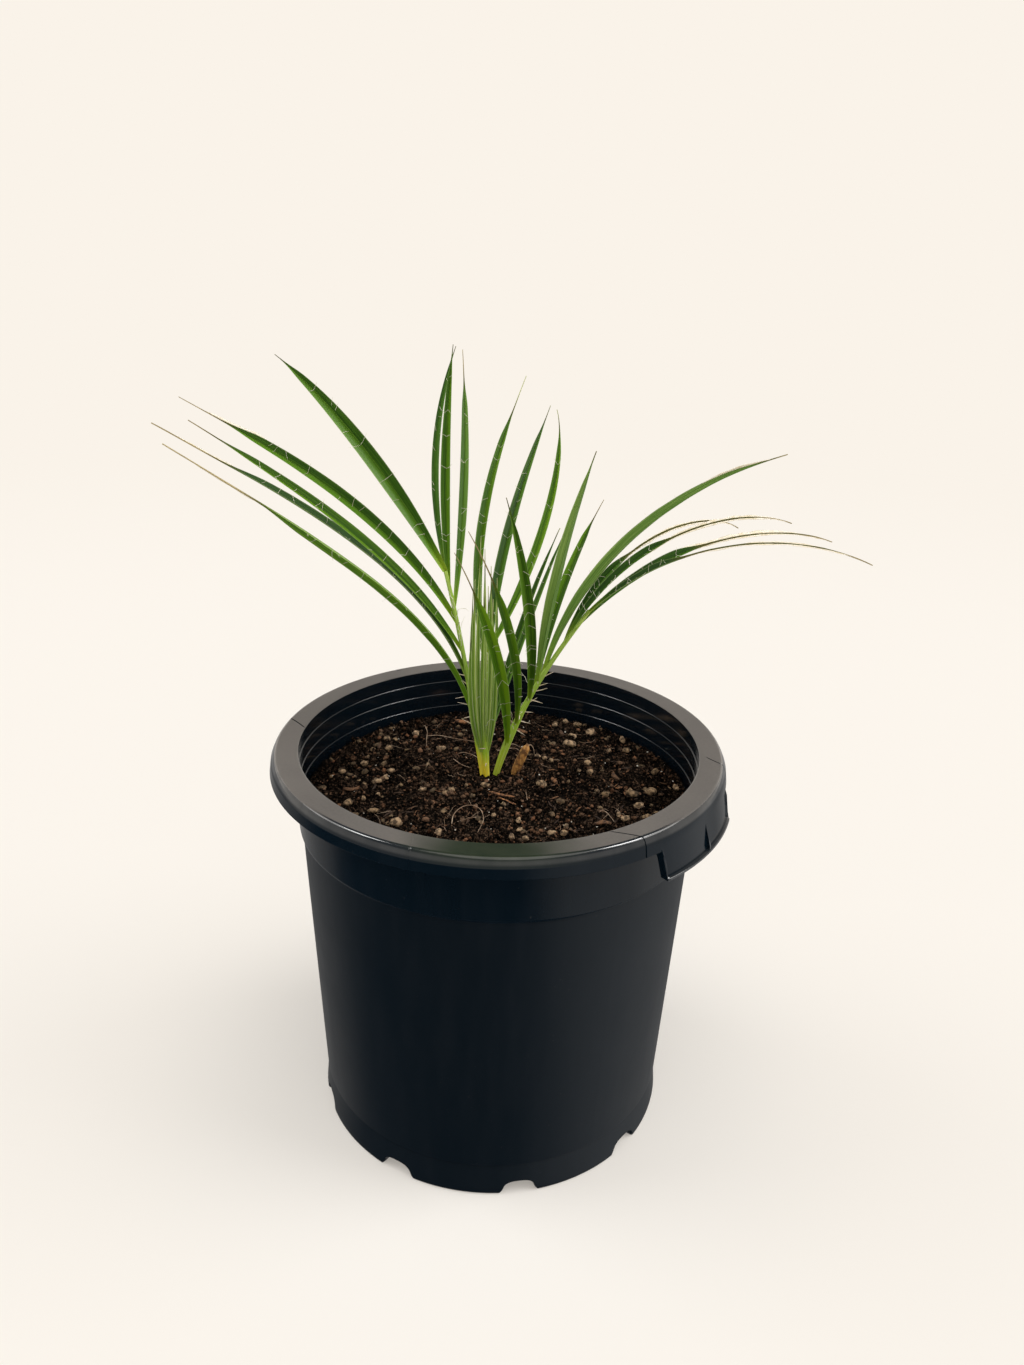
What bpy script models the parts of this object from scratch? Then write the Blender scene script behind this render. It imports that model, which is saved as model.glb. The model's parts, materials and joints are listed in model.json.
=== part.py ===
# Young feather palm in a black nursery pot with two finger grips.
# Metres, +Z up. The origin is the centre of the pot's base, and the grips lie on the X axis.
# Headings are turned anticlockwise from +X, seen from above.

import math
import random

import bmesh
import bpy
from mathutils import Matrix, Vector, noise

# Pot
RIM_RADIUS = 0.1250
RIM_TOP = 0.2288
RIM_INNER_RADIUS = 0.1108
RIM_ROUND = 0.0008
SKIRT_BOTTOM = 0.2183
SKIRT_RADIUS = 0.1265
SKIN = 0.0017
BAND_BOTTOM = 0.1847
BAND_RADIUS = 0.1130
BAND_DRAFT = 0.0010
WALL_TOP_RADIUS = 0.1105
WALL_FOOT_RADIUS = 0.1022
FOOT_HEIGHT = 0.0199
FOOT_STEP = 0.0007
BASE_RADIUS = 0.1030
BASE_ROUND = 0.0012
WALL_THICKNESS = 0.0020
FLOOR_THICKNESS = 0.0026
FLOOR_RISE = 0.0030
FLOOR_SLOPE = 0.003
CENTRE_PAD_RADIUS = 0.030
RING_FOOT_INNER_RADIUS = 0.087
FLOOR_CORNER = 0.002
INNER_RING_HEIGHTS = (0.2205, 0.2120, 0.2035, 0.1955)
INNER_RING_STEP = 0.0004
INNER_RING_BLEND = 0.0004
INNER_DRAFT = 0.0006
EDGE_ROUND = 0.0005
UNDERCUT_BLEND = 0.0008
HEM = 0.0004
POT_STEPS = 60

# Drain notches round the foot
NOTCH_COUNT = 9
FIRST_NOTCH = -7.0
NOTCH_HALF_WIDTH = 0.0105
NOTCH_HEIGHT = 0.0080
NOTCH_INNER_RADIUS = 0.0885
NOTCH_OUTER_RADIUS = 0.1100

# Finger grips, where the rim's skirt goes deeper and flares
GRIP_HEADINGS = (0.0, 180.0)
GRIP_HALF_SPAN_TOP = 17.8
GRIP_HALF_SPAN_BOTTOM = 16.6
GRIP_TOP = 0.2205
GRIP_BOTTOM = 0.2028
BEAD_TOP = 0.2056
GRIP_RADIUS = 0.1286
BEAD_RADIUS = 0.1306
BEAD_ROUND = 0.0012
GRIP_INSET = 0.0003
GRIP_STEPS = 10
GUSSET_ROOT = 0.0006
GUSSET_TOE = 0.0010
GUSSET_HEIGHT = 0.0125
GUSSET_THICKNESS = 0.0012

# Soil
GAP = 0.0004
SOIL_EDGE_TOP = 0.1985
SOIL_MOUND = 0.0048
SOIL_BOTTOM = FLOOR_RISE + FLOOR_THICKNESS + GAP
SOIL_SIDES = 48
SOIL_ROUGHNESS = 0.0011
SOIL_RINGS = (1.0, 0.92, 0.82, 0.70, 0.57, 0.44, 0.31, 0.18, 0.06)
GRANULE_COUNT = 46
CHIP_COUNT = 9
GRANULE_STRETCH = (1.15, 0.95, 0.80)
CHIP_STRETCH = (2.1, 0.9, 0.45)
LUMP_SIZES = (0.0016, 0.0034)
LUMP_FIELD = 0.100
PLANT_CENTRE = (-0.004, 0.006)
CLEAR_OF_PLANT = 0.020
SEED = 11

# Plant
SOIL_LINE = 0.2030
STALK_DEPTH = 0.022
BLADE_THICKNESS = 0.0008
BLADE_FOLD = 0.20
BLADE_STATIONS = 10
ROOT_SHARE = 0.34
WIDEST_AT = 0.42
TAPER_POWER = 1.7
TIP_WIDTH = 0.0011
STALK_STATIONS = 9
STALK_SAMPLES = 40
STALK_SIDES = 6
HOLE_SIDES = 16
HOLE_OVERSHOOT = 0.020

STALKS = {
    "frond_left": dict(
        root=(-0.0125, 0.0022), heading=203, lean=0, launch=82, tip=75, ease=0.6,
        length=0.122, radius=0.00125, tip_radius=0.0009,
    ),
    "spear": dict(
        root=(-0.0097, 0.0028), heading=213, lean=0, launch=84, tip=91, ease=3.0,
        length=0.075, radius=0.00125, tip_radius=0.0008,
    ),
    "frond_right": dict(
        root=(-0.0063, 0.0069), heading=23, lean=0, launch=76, tip=57, ease=1.4,
        length=0.115, radius=0.00150, tip_radius=0.0009,
    ),
}

# Each leaflet: share along the stalk, heading, lean of its plane, launch and tip elevation,
# ease of the bend, length, width and roll of the blade.
LEAFLET_FIELDS = ("along", "heading", "lean", "launch", "tip", "ease", "length", "width", "roll")
LEAFLETS = {
    "frond_left": [
        (1.00, 190, 0, 56, 29, 0.6, 0.148, 0.0088, 60),
        (0.75, 200, 0, 59, 24, 2.0, 0.196, 0.0068, 50),
        (0.60, 220, 0, 60, 34, 2.0, 0.189, 0.0060, 42),
        (0.42, 208, 0, 75, 27, 2.75, 0.227, 0.0058, 15),
        (0.26, 233, 0, 82, 35, 3.0, 0.232, 0.0060, -38),
        (1.00, 213, -32, 75, 106, 1.0, 0.131, 0.0042, 70),
        (0.92, 213, -10, 85, 95, 1.0, 0.126, 0.0052, 95),
        (0.82, 213, -38, 94, 85, 1.0, 0.160, 0.0050, 85),
    ],
    "spear": [
        (0.88, 33, 30, 104, 71, 1.5, 0.174, 0.0056, -75),
        (0.76, 33, 36, 90, 72, 1.5, 0.175, 0.0062, -80),
        (1.00, 33, 24, 61, 113, 0.4, 0.143, 0.0052, -70),
        (0.24, 33, 25, 76, 66, 0.5, 0.132, 0.0040, -60),
        (0.22, 33, 34, 74, 69, 0.8, 0.141, 0.0038, -75),
    ],
    "frond_right": [
        (0.17, 213, 22, 90, 67, 1.0, 0.140, 0.0054, 75),
        (0.30, 213, 32, 93, 69, 1.0, 0.159, 0.0048, 80),
        (0.45, 213, 36, 91, 79, 1.0, 0.169, 0.0058, 70),
        (0.55, 33, -30, 88, 79, 1.0, 0.167, 0.0070, 78),
        (0.53, 33, 22, 81, 62, 1.0, 0.111, 0.0052, -80),
        (0.60, 8, 0, 75, 22, 1.0, 0.185, 0.0062, 48),
        (0.80, 51, 0, 70, -36, 0.6, 0.128, 0.0046, -40),
        (0.80, 25, 0, 66, -22, 0.6, 0.144, 0.0050, -40),
        (0.88, 41, 0, 50, -20, 0.8, 0.156, 0.0054, -35),
        (0.95, 15, 0, 50, -22, 0.8, 0.159, 0.0046, -30),
    ],
}

# The spear's pleats stand side by side, the middle ones the longest.
PLEAT_LENGTHS = (0.084, 0.117, 0.137, 0.125, 0.116, 0.102)
PLEAT_LEANS = (8, 3, 9, -3, 4, -8)
PLEAT_LAUNCH = 87
PLEAT_SPREAD = 4.0
PLEAT_TIP = 91
PLEAT_WIDTH = 0.0044
PLEAT_ROLL = 84
PLEAT_ROOT = 0.06
LEFT_OF_VIEW = 213
RIGHT_OF_VIEW = 33

# Three-sided spines on the lower stalks: share along the stalk, heading and rise
SPINE_LENGTH = 0.0075
SPINE_RADIUS = 0.00045
SPINES = {
    "frond_left": [
        (0.18, 225, -8), (0.24, 205, 12), (0.30, 236, 20), (0.36, 182, -6), (0.43, 215, 16),
        (0.28, 120, 10), (0.39, 100, 4),
    ],
    "frond_right": [
        (0.20, 30, -25), (0.28, 45, -12), (0.34, 15, 8), (0.38, 40, 22), (0.42, 20, 26), (0.45, 48, 10),
        (0.26, 130, 8), (0.36, 300, 4),
    ],
    "spear": [(0.10, 300, 12), (0.22, 285, 24)],
}

# Dry stub of an old leaf sheath
STUB_ROOT = (0.0012, 0.0155)
STUB_HEADING = 33
STUB_ELEVATION = 70
STUB_LENGTH = 0.019
STUB_DEPTH = 0.007
STUB_RADIUS = 0.0029
STUB_THICKNESS = 0.0010


def clear_scene():
    for old in list(bpy.data.objects):
        bpy.data.objects.remove(old, do_unlink=True)


def new_collection(name):
    collection = bpy.data.collections.new(name)
    bpy.context.scene.collection.children.link(collection)
    return collection


def make_material(name, colour, roughness, metallic=0.0):
    material = bpy.data.materials.new(name)
    material.use_nodes = True
    shader = material.node_tree.nodes["Principled BSDF"]
    shader.inputs["Base Color"].default_value = (*colour, 1.0)
    shader.inputs["Roughness"].default_value = roughness
    shader.inputs["Metallic"].default_value = metallic
    return material


def add_object(name, bm, collection, material=None):
    """Turn a bmesh into an object and free the bmesh."""
    mesh = bpy.data.meshes.new(name)
    bm.to_mesh(mesh)
    bm.free()
    obj = bpy.data.objects.new(name, mesh)
    collection.objects.link(obj)
    if material:
        mesh.materials.append(material)
    return obj


def hide_helper(obj):
    obj.hide_render = True
    obj.display_type = "WIRE"


def smooth_shade(obj, angle=35):
    obj.data.shade_smooth()
    obj.data.set_sharp_from_angle(angle=math.radians(angle))


def apply_modifiers(obj):
    graph = bpy.context.evaluated_depsgraph_get()
    mesh = bpy.data.meshes.new_from_object(obj.evaluated_get(graph))
    obj.modifiers.clear()
    obj.data = mesh


def add_boolean(obj, operation, operand, solver="EXACT"):
    modifier = obj.modifiers.new(operation.lower(), "BOOLEAN")
    modifier.operation = operation
    modifier.solver = solver
    modifier.operand_type = "COLLECTION"
    modifier.collection = operand
    return modifier


def remove_collection(collection):
    for obj in list(collection.objects):
        bpy.data.objects.remove(obj, do_unlink=True)
    bpy.data.collections.remove(collection)


def fuse(name, pieces, collection, material):
    """Join closed bodies by one Boolean union and drop the loose ones."""
    operand = new_collection(name + "_repeats")
    for piece in pieces[1:]:
        operand.objects.link(piece)
        for home in list(piece.users_collection):
            if home is not operand:
                home.objects.unlink(piece)
    body = pieces[0]
    add_boolean(body, "UNION", operand)
    apply_modifiers(body)
    remove_collection(operand)
    body.name = name
    body.data.name = name
    body.data.materials.clear()
    body.data.materials.append(material)
    for polygon in body.data.polygons:
        polygon.material_index = 0
    return body


def loft(bm, rings, closed_ends=True):
    """Skin rings of equal size with triangles, split alike all the way round."""
    rows = [[bm.verts.new(point) for point in ring] for ring in rings]
    count = len(rows[0])
    for lower, upper in zip(rows, rows[1:]):
        for i in range(count):
            j = (i + 1) % count
            bm.faces.new((lower[i], lower[j], upper[j]))
            bm.faces.new((lower[i], upper[j], upper[i]))
    if closed_ends:
        bm.faces.new(list(reversed(rows[0])))
        bm.faces.new(rows[-1])
    bmesh.ops.recalc_face_normals(bm, faces=bm.faces)
    return rows


def polar(radius, degrees, z):
    angle = math.radians(degrees)
    return Vector((radius * math.cos(angle), radius * math.sin(angle), z))


def inner_radius_below_rings():
    return RIM_INNER_RADIUS - INNER_RING_STEP * len(INNER_RING_HEIGHTS)


def pot_profile():
    """Half outline of the turned pot: inside from the axis up, over the rim, down the outside."""
    floor_outer = WALL_FOOT_RADIUS - WALL_THICKNESS
    profile = [
        (0.0, FLOOR_THICKNESS),
        (CENTRE_PAD_RADIUS, FLOOR_THICKNESS),
        (CENTRE_PAD_RADIUS + FLOOR_SLOPE, FLOOR_RISE + FLOOR_THICKNESS),
        (RING_FOOT_INNER_RADIUS - FLOOR_SLOPE, FLOOR_RISE + FLOOR_THICKNESS),
        (RING_FOOT_INNER_RADIUS, FLOOR_THICKNESS),
        (floor_outer - FLOOR_CORNER, FLOOR_THICKNESS),
        (floor_outer - 0.3 * FLOOR_CORNER, FLOOR_THICKNESS + FLOOR_CORNER),
        (floor_outer, FOOT_HEIGHT),
    ]
    radius = inner_radius_below_rings()
    profile.append((radius - INNER_DRAFT, BAND_BOTTOM))
    for height in reversed(INNER_RING_HEIGHTS):
        profile.append((radius, height - INNER_RING_BLEND))
        radius += INNER_RING_STEP
        profile.append((radius, height))
    profile += [
        (RIM_INNER_RADIUS, RIM_TOP - EDGE_ROUND),
        (RIM_INNER_RADIUS + EDGE_ROUND, RIM_TOP),
        (RIM_RADIUS - RIM_ROUND, RIM_TOP),
        (RIM_RADIUS, RIM_TOP - RIM_ROUND),
        (SKIRT_RADIUS, SKIRT_BOTTOM + HEM),
        (SKIRT_RADIUS - HEM, SKIRT_BOTTOM),
        (SKIRT_RADIUS - SKIN, SKIRT_BOTTOM),
        (RIM_RADIUS - SKIN, RIM_TOP - SKIN - HEM),
        (BAND_RADIUS, RIM_TOP - SKIN - HEM),
        (BAND_RADIUS - BAND_DRAFT, BAND_BOTTOM + UNDERCUT_BLEND),
        (WALL_TOP_RADIUS, BAND_BOTTOM),
        (WALL_FOOT_RADIUS, FOOT_HEIGHT + EDGE_ROUND),
        (WALL_FOOT_RADIUS - FOOT_STEP, FOOT_HEIGHT),
        (BASE_RADIUS, BASE_ROUND),
        (BASE_RADIUS - BASE_ROUND, 0.0),
        (RING_FOOT_INNER_RADIUS, 0.0),
        (RING_FOOT_INNER_RADIUS - FLOOR_SLOPE, FLOOR_RISE),
        (CENTRE_PAD_RADIUS + FLOOR_SLOPE, FLOOR_RISE),
        (CENTRE_PAD_RADIUS, 0.0),
        (0.0, 0.0),
    ]
    return profile


def grip_skirt(heading, collection):
    """The deeper, flared stretch of skirt that makes a finger grip."""
    outer = SKIRT_RADIUS - GRIP_INSET
    profile = [
        (outer, GRIP_TOP),
        (GRIP_RADIUS, BEAD_TOP),
        (BEAD_RADIUS - HEM, BEAD_TOP - 0.25 * BEAD_ROUND),
        (BEAD_RADIUS, BEAD_TOP - BEAD_ROUND),
        (BEAD_RADIUS - GRIP_INSET, GRIP_BOTTOM),
        (GRIP_RADIUS - SKIN - HEM, GRIP_BOTTOM),
        (GRIP_RADIUS - SKIN, BEAD_TOP),
        (outer - SKIN + EDGE_ROUND, GRIP_TOP),
    ]
    rings = []
    for step in range(GRIP_STEPS + 1):
        share = 2.0 * step / GRIP_STEPS - 1.0
        ring = []
        for radius, z in profile:
            drop = (GRIP_TOP - z) / (GRIP_TOP - GRIP_BOTTOM)
            half_span = GRIP_HALF_SPAN_TOP + (GRIP_HALF_SPAN_BOTTOM - GRIP_HALF_SPAN_TOP) * drop
            ring.append(polar(radius, heading + share * half_span, z))
        rings.append(ring)
    bm = bmesh.new()
    loft(bm, rings)
    return add_object("grip", bm, collection)


def grip_gusset(heading, collection):
    """The small upright web that stiffens a grip's bead."""
    outline = [
        (GRIP_RADIUS - 0.5 * SKIN, BEAD_TOP - GUSSET_ROOT),
        (BEAD_RADIUS - GRIP_INSET, BEAD_TOP - GUSSET_ROOT),
        (BEAD_RADIUS - GRIP_INSET, BEAD_TOP + GUSSET_TOE),
        (SKIRT_RADIUS - HEM, BEAD_TOP + GUSSET_HEIGHT),
        (SKIRT_RADIUS - 0.5 * SKIN, BEAD_TOP + GUSSET_HEIGHT),
    ]
    turn = Matrix.Rotation(math.radians(heading), 3, "Z")
    rings = []
    for side in (-0.5, 0.5):
        rings.append([turn @ Vector((radius, side * GUSSET_THICKNESS, z)) for radius, z in outline])
    bm = bmesh.new()
    loft(bm, rings)
    return add_object("gusset", bm, collection)


def notch_cutter(heading, collection):
    """One arch-shaped drain notch through the foot."""
    low, middle, shoulder = -0.001, 0.0046, 0.0070
    right = [
        (NOTCH_HALF_WIDTH + BASE_ROUND, low),
        (NOTCH_HALF_WIDTH, BASE_ROUND),
        (NOTCH_HALF_WIDTH - 0.0012, middle),
        (NOTCH_HALF_WIDTH - 0.0028, shoulder),
        (NOTCH_HALF_WIDTH - 0.0052, NOTCH_HEIGHT),
    ]
    arch = right + [(-across, z) for across, z in reversed(right)]
    turn = Matrix.Rotation(math.radians(heading), 3, "Z")
    rings = []
    for radius in (NOTCH_INNER_RADIUS, NOTCH_OUTER_RADIUS):
        rings.append([turn @ Vector((radius, across, z)) for across, z in arch])
    bm = bmesh.new()
    loft(bm, rings)
    cutter = add_object("notch_cutter", bm, collection)
    hide_helper(cutter)
    return cutter


def make_pot(collection, cutters, material):
    bm = bmesh.new()
    corners = [bm.verts.new((radius, 0.0, z)) for radius, z in pot_profile()]
    for start, end in zip(corners, corners[1:]):
        bm.edges.new((start, end))
    pot = add_object("pot", bm, collection, material)
    screw = pot.modifiers.new("turn", "SCREW")
    screw.axis = "Z"
    screw.steps = POT_STEPS
    screw.render_steps = POT_STEPS
    screw.use_merge_vertices = True
    screw.merge_threshold = 0.00002
    apply_modifiers(pot)
    additions = new_collection("pot_additions")
    for heading in GRIP_HEADINGS:
        grip_skirt(heading, additions)
        grip_gusset(heading, additions)
    add_boolean(pot, "UNION", additions)
    apply_modifiers(pot)
    remove_collection(additions)
    for i in range(NOTCH_COUNT):
        notch_cutter(FIRST_NOTCH + i * 360.0 / NOTCH_COUNT, cutters)
    add_boolean(pot, "DIFFERENCE", cutters)
    apply_modifiers(pot)
    smooth_shade(pot)
    return pot


def soil_height(x, y):
    """Top of the potting mix: a low mound with crumbly relief."""
    share = min(1.0, math.hypot(x, y) / RIM_INNER_RADIUS)
    mound = SOIL_EDGE_TOP + SOIL_MOUND * (1.0 - share * share)
    crumb = noise.noise(Vector((x * 90.0, y * 90.0, 3.0)))
    crumb += 0.6 * noise.noise(Vector((x * 210.0, y * 210.0, 7.0)))
    return mound + SOIL_ROUGHNESS * crumb


def soil_body(collection):
    wall_low = WALL_FOOT_RADIUS - WALL_THICKNESS - 3.0 * GAP
    wall_high = inner_radius_below_rings() - INNER_DRAFT - GAP
    step = 360.0 / SOIL_SIDES
    rings = []
    for radius, z in ((wall_low, SOIL_BOTTOM), (wall_high, BAND_BOTTOM)):
        rings.append([polar(radius, i * step, z) for i in range(SOIL_SIDES)])
    for share in SOIL_RINGS:
        ring = []
        for i in range(SOIL_SIDES):
            point = polar(wall_high * share, i * step, 0.0)
            point.z = soil_height(point.x, point.y)
            ring.append(point)
        rings.append(ring)
    bm = bmesh.new()
    loft(bm, rings)
    return add_object("soil_body", bm, collection)


def soil_lumps(collection):
    """Clay granules and bark chips, pressed part of the way into the mix."""
    rng = random.Random(SEED)
    lumps = []
    for i in range(GRANULE_COUNT + CHIP_COUNT):
        chip = i >= GRANULE_COUNT
        radius = LUMP_FIELD * math.sqrt(rng.uniform(0.04, 1.0))
        heading = rng.uniform(0.0, 360.0)
        size = rng.uniform(*LUMP_SIZES)
        stretch = CHIP_STRETCH if chip else GRANULE_STRETCH
        centre = polar(radius, heading, 0.0)
        centre.z = soil_height(centre.x, centre.y) + size * (0.05 if chip else 0.25)
        spin = rng.uniform(0.0, 360.0)
        if math.dist(centre.xy, PLANT_CENTRE) < CLEAR_OF_PLANT:
            continue
        turn = Matrix.Rotation(math.radians(spin), 4, "Z") @ Matrix.Diagonal((*stretch, 1.0))
        bm = bmesh.new()
        bmesh.ops.create_icosphere(bm, subdivisions=1, radius=size)
        bmesh.ops.transform(bm, matrix=Matrix.Translation(centre) @ turn, verts=bm.verts)
        lumps.append(add_object("lump", bm, collection))
    return lumps


def stem_hole(root, radius, depth, collection):
    bm = bmesh.new()
    height = depth + HOLE_OVERSHOOT
    bmesh.ops.create_cone(
        bm, cap_ends=True, segments=HOLE_SIDES, radius1=radius, radius2=radius, depth=height,
        matrix=Matrix.Translation((*root, SOIL_LINE - depth + height / 2)),
    )
    cutter = add_object("stem_hole", bm, collection)
    hide_helper(cutter)
    return cutter


def make_soil(collection, cutters, material):
    lumps = soil_lumps(collection)
    soil = fuse("soil", [soil_body(collection)] + lumps, collection, material)
    holes = new_collection("stem_holes")
    for stalk in STALKS.values():
        stem_hole(stalk["root"], stalk["radius"] + GAP, STALK_DEPTH + GAP, holes)
    stem_hole(STUB_ROOT, STUB_RADIUS + GAP, STUB_DEPTH + GAP, holes)
    add_boolean(soil, "DIFFERENCE", holes)
    apply_modifiers(soil)
    for cutter in list(holes.objects):
        cutters.objects.link(cutter)
        holes.objects.unlink(cutter)
    bpy.data.collections.remove(holes)
    smooth_shade(soil, 50)
    return soil


def bend(start, shape, stations):
    """Points and tangents of a stalk or leaflet that bends in one leaning plane."""
    heading = math.radians(shape["heading"])
    lean = math.radians(shape["lean"])
    forward = Vector((math.cos(heading), math.sin(heading), 0.0))
    side = Vector((-math.sin(heading), math.cos(heading), 0.0))
    upward = side * math.sin(lean) + Vector((0.0, 0.0, math.cos(lean)))
    points = [Vector(start)]
    tangents = []
    fine = 4 * stations
    for i in range(fine):
        share = (i + 0.5) / fine
        elevation = shape["tip"] + (shape["launch"] - shape["tip"]) * (1.0 - share) ** shape["ease"]
        elevation = math.radians(elevation)
        direction = forward * math.cos(elevation) + upward * math.sin(elevation)
        if i % 4 == 0:
            tangents.append(direction)
        points.append(points[-1] + direction * (shape["length"] / fine))
    tangents.append(direction)
    return points[::4], tangents, forward.cross(upward)


def stalk_start(name):
    return Vector((*STALKS[name]["root"], SOIL_LINE))


def stalk_point(name, share):
    points, tangents, normal = bend(stalk_start(name), STALKS[name], STALK_SAMPLES)
    return points[round(share * STALK_SAMPLES)]


def make_stalk(name, collection):
    """A tapered stalk that stands upright in its hole and bends above the soil."""
    stalk = STALKS[name]
    start = stalk_start(name)
    points, tangents, normal = bend(start, stalk, STALK_STATIONS)
    points = [start - Vector((0.0, 0.0, STALK_DEPTH)), start - Vector((0.0, 0.0, 0.002))] + points[1:]
    tangents = [Vector((0.0, 0.0, 1.0)), Vector((0.0, 0.0, 1.0))] + tangents[1:]
    rings = []
    for i, (point, tangent) in enumerate(zip(points, tangents)):
        share = max(0.0, (i - 1) / (len(points) - 2))
        radius = stalk["radius"] + (stalk["tip_radius"] - stalk["radius"]) * share
        across = normal.normalized()
        outward = across.cross(tangent).normalized()
        ring = []
        for k in range(STALK_SIDES):
            angle = 2.0 * math.pi * k / STALK_SIDES
            ring.append(point + (across * math.cos(angle) + outward * math.sin(angle)) * radius)
        rings.append(ring)
    bm = bmesh.new()
    loft(bm, rings)
    return add_object(name + "_stalk", bm, collection)


def blade_width(share, width):
    """Narrow root, widest before the middle, long drawn-out tip."""
    swell = ROOT_SHARE + (1.0 - ROOT_SHARE) * math.sin(min(1.0, share / WIDEST_AT) * math.pi / 2)
    beyond = max(0.0, share - WIDEST_AT) / (1.0 - WIDEST_AT)
    return max(TIP_WIDTH, width * swell * (1.0 - beyond ** TAPER_POWER))


def make_blade(start, shape, collection):
    """A leaflet: a folded strip, one closed body with a ridge under its middle."""
    points, tangents, normal = bend(start, shape, BLADE_STATIONS)
    roll = math.radians(shape["roll"])
    rings = []
    for i, (point, tangent) in enumerate(zip(points, tangents)):
        share = i / BLADE_STATIONS
        across = normal.normalized()
        face = across.cross(tangent).normalized()
        across, face = (
            across * math.cos(roll) + face * math.sin(roll),
            face * math.cos(roll) - across * math.sin(roll),
        )
        half = 0.5 * blade_width(share, shape["width"])
        rise = 2.0 * half * BLADE_FOLD
        thick = BLADE_THICKNESS
        rings.append([
            point - across * half + face * (rise + thick / 2),
            point - across * half + face * (rise - thick / 2),
            point - face * thick / 2,
            point + across * half + face * (rise - thick / 2),
            point + across * half + face * (rise + thick / 2),
            point + face * thick / 2,
        ])
    bm = bmesh.new()
    loft(bm, rings)
    return add_object("blade", bm, collection)


def make_spine(name, share, heading, rise, collection):
    base = stalk_point(name, share)
    direction = polar(math.cos(math.radians(rise)), heading, math.sin(math.radians(rise)))
    turn = direction.to_track_quat("Z", "Y").to_matrix().to_4x4()
    place = Matrix.Translation(base + direction * SPINE_LENGTH / 2)
    bm = bmesh.new()
    bmesh.ops.create_cone(
        bm, cap_ends=True, segments=3, radius1=SPINE_RADIUS, radius2=SPINE_RADIUS * 0.3,
        depth=SPINE_LENGTH, matrix=place @ turn,
    )
    return add_object("spine", bm, collection)


def pleat_shapes():
    """The folded leaflets of the spear, fanned out and closing again at their tips."""
    middle = (len(PLEAT_LENGTHS) - 1) / 2
    shapes = []
    for i, length in enumerate(PLEAT_LENGTHS):
        offset = i - middle
        turned_left = offset < 0
        shapes.append(dict(
            heading=LEFT_OF_VIEW if turned_left else RIGHT_OF_VIEW,
            lean=PLEAT_LEANS[i],
            launch=PLEAT_LAUNCH - PLEAT_SPREAD * abs(offset), tip=PLEAT_TIP, ease=1.0,
            length=length, width=PLEAT_WIDTH, roll=PLEAT_ROLL if turned_left else -PLEAT_ROLL,
        ))
    return shapes


def make_frond(name, collection, material):
    pieces = [make_stalk(name, collection)]
    for row in LEAFLETS[name]:
        leaflet = dict(zip(LEAFLET_FIELDS, row))
        pieces.append(make_blade(stalk_point(name, leaflet["along"]), leaflet, collection))
    if name == "spear":
        for shape in pleat_shapes():
            pieces.append(make_blade(stalk_point(name, PLEAT_ROOT), shape, collection))
    for share, heading, rise in SPINES[name]:
        pieces.append(make_spine(name, share, heading, rise, collection))
    frond = fuse(name, pieces, collection, material)
    smooth_shade(frond, 60)
    return frond


def make_stub(collection, material):
    """Half-open dry sheath: a channel section that leans out of the soil."""
    start = Vector((*STUB_ROOT, SOIL_LINE))
    elevation = math.radians(STUB_ELEVATION)
    lean = polar(math.cos(elevation), STUB_HEADING, math.sin(elevation))
    stations = [
        (start - Vector((0.0, 0.0, STUB_DEPTH)), 0.80),
        (start - Vector((0.0, 0.0, 0.001)), 0.85),
        (start + lean * STUB_LENGTH * 0.35, 0.95),
        (start + lean * STUB_LENGTH * 0.75, 0.90),
        (start + lean * STUB_LENGTH, 0.55),
    ]
    rings = []
    for centre, scale in stations:
        ring = []
        for radius, angles in (
            (STUB_RADIUS * scale, range(-120, 121, 40)),
            (STUB_RADIUS * scale - STUB_THICKNESS, range(120, -121, -40)),
        ):
            ring += [centre + polar(radius, STUB_HEADING + 60 + angle, 0.0) for angle in angles]
        rings.append(ring)
    bm = bmesh.new()
    loft(bm, rings)
    stub = add_object("dead_sheath", bm, collection, material)
    smooth_shade(stub, 60)
    return stub


def main():
    clear_scene()
    parts = new_collection("potted_palm")
    cutters = new_collection("cutters")
    pot_plastic = make_material("pot_plastic", (0.016, 0.018, 0.021), 0.42)
    potting_mix = make_material("potting_mix", (0.030, 0.020, 0.014), 0.95)
    leaf_green = make_material("leaf_green", (0.075, 0.170, 0.022), 0.42)
    young_green = make_material("young_green", (0.160, 0.280, 0.030), 0.40)
    dry_sheath = make_material("dry_sheath", (0.330, 0.150, 0.050), 0.80)
    make_pot(parts, cutters, pot_plastic)
    make_soil(parts, cutters, potting_mix)
    make_frond("frond_left", parts, leaf_green)
    make_frond("frond_right", parts, leaf_green)
    make_frond("spear", parts, young_green)
    make_stub(parts, dry_sheath)


main()
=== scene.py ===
import json
import math
import random

import bmesh
import bpy
import numpy as np
from mathutils import Matrix, Vector, noise

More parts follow.
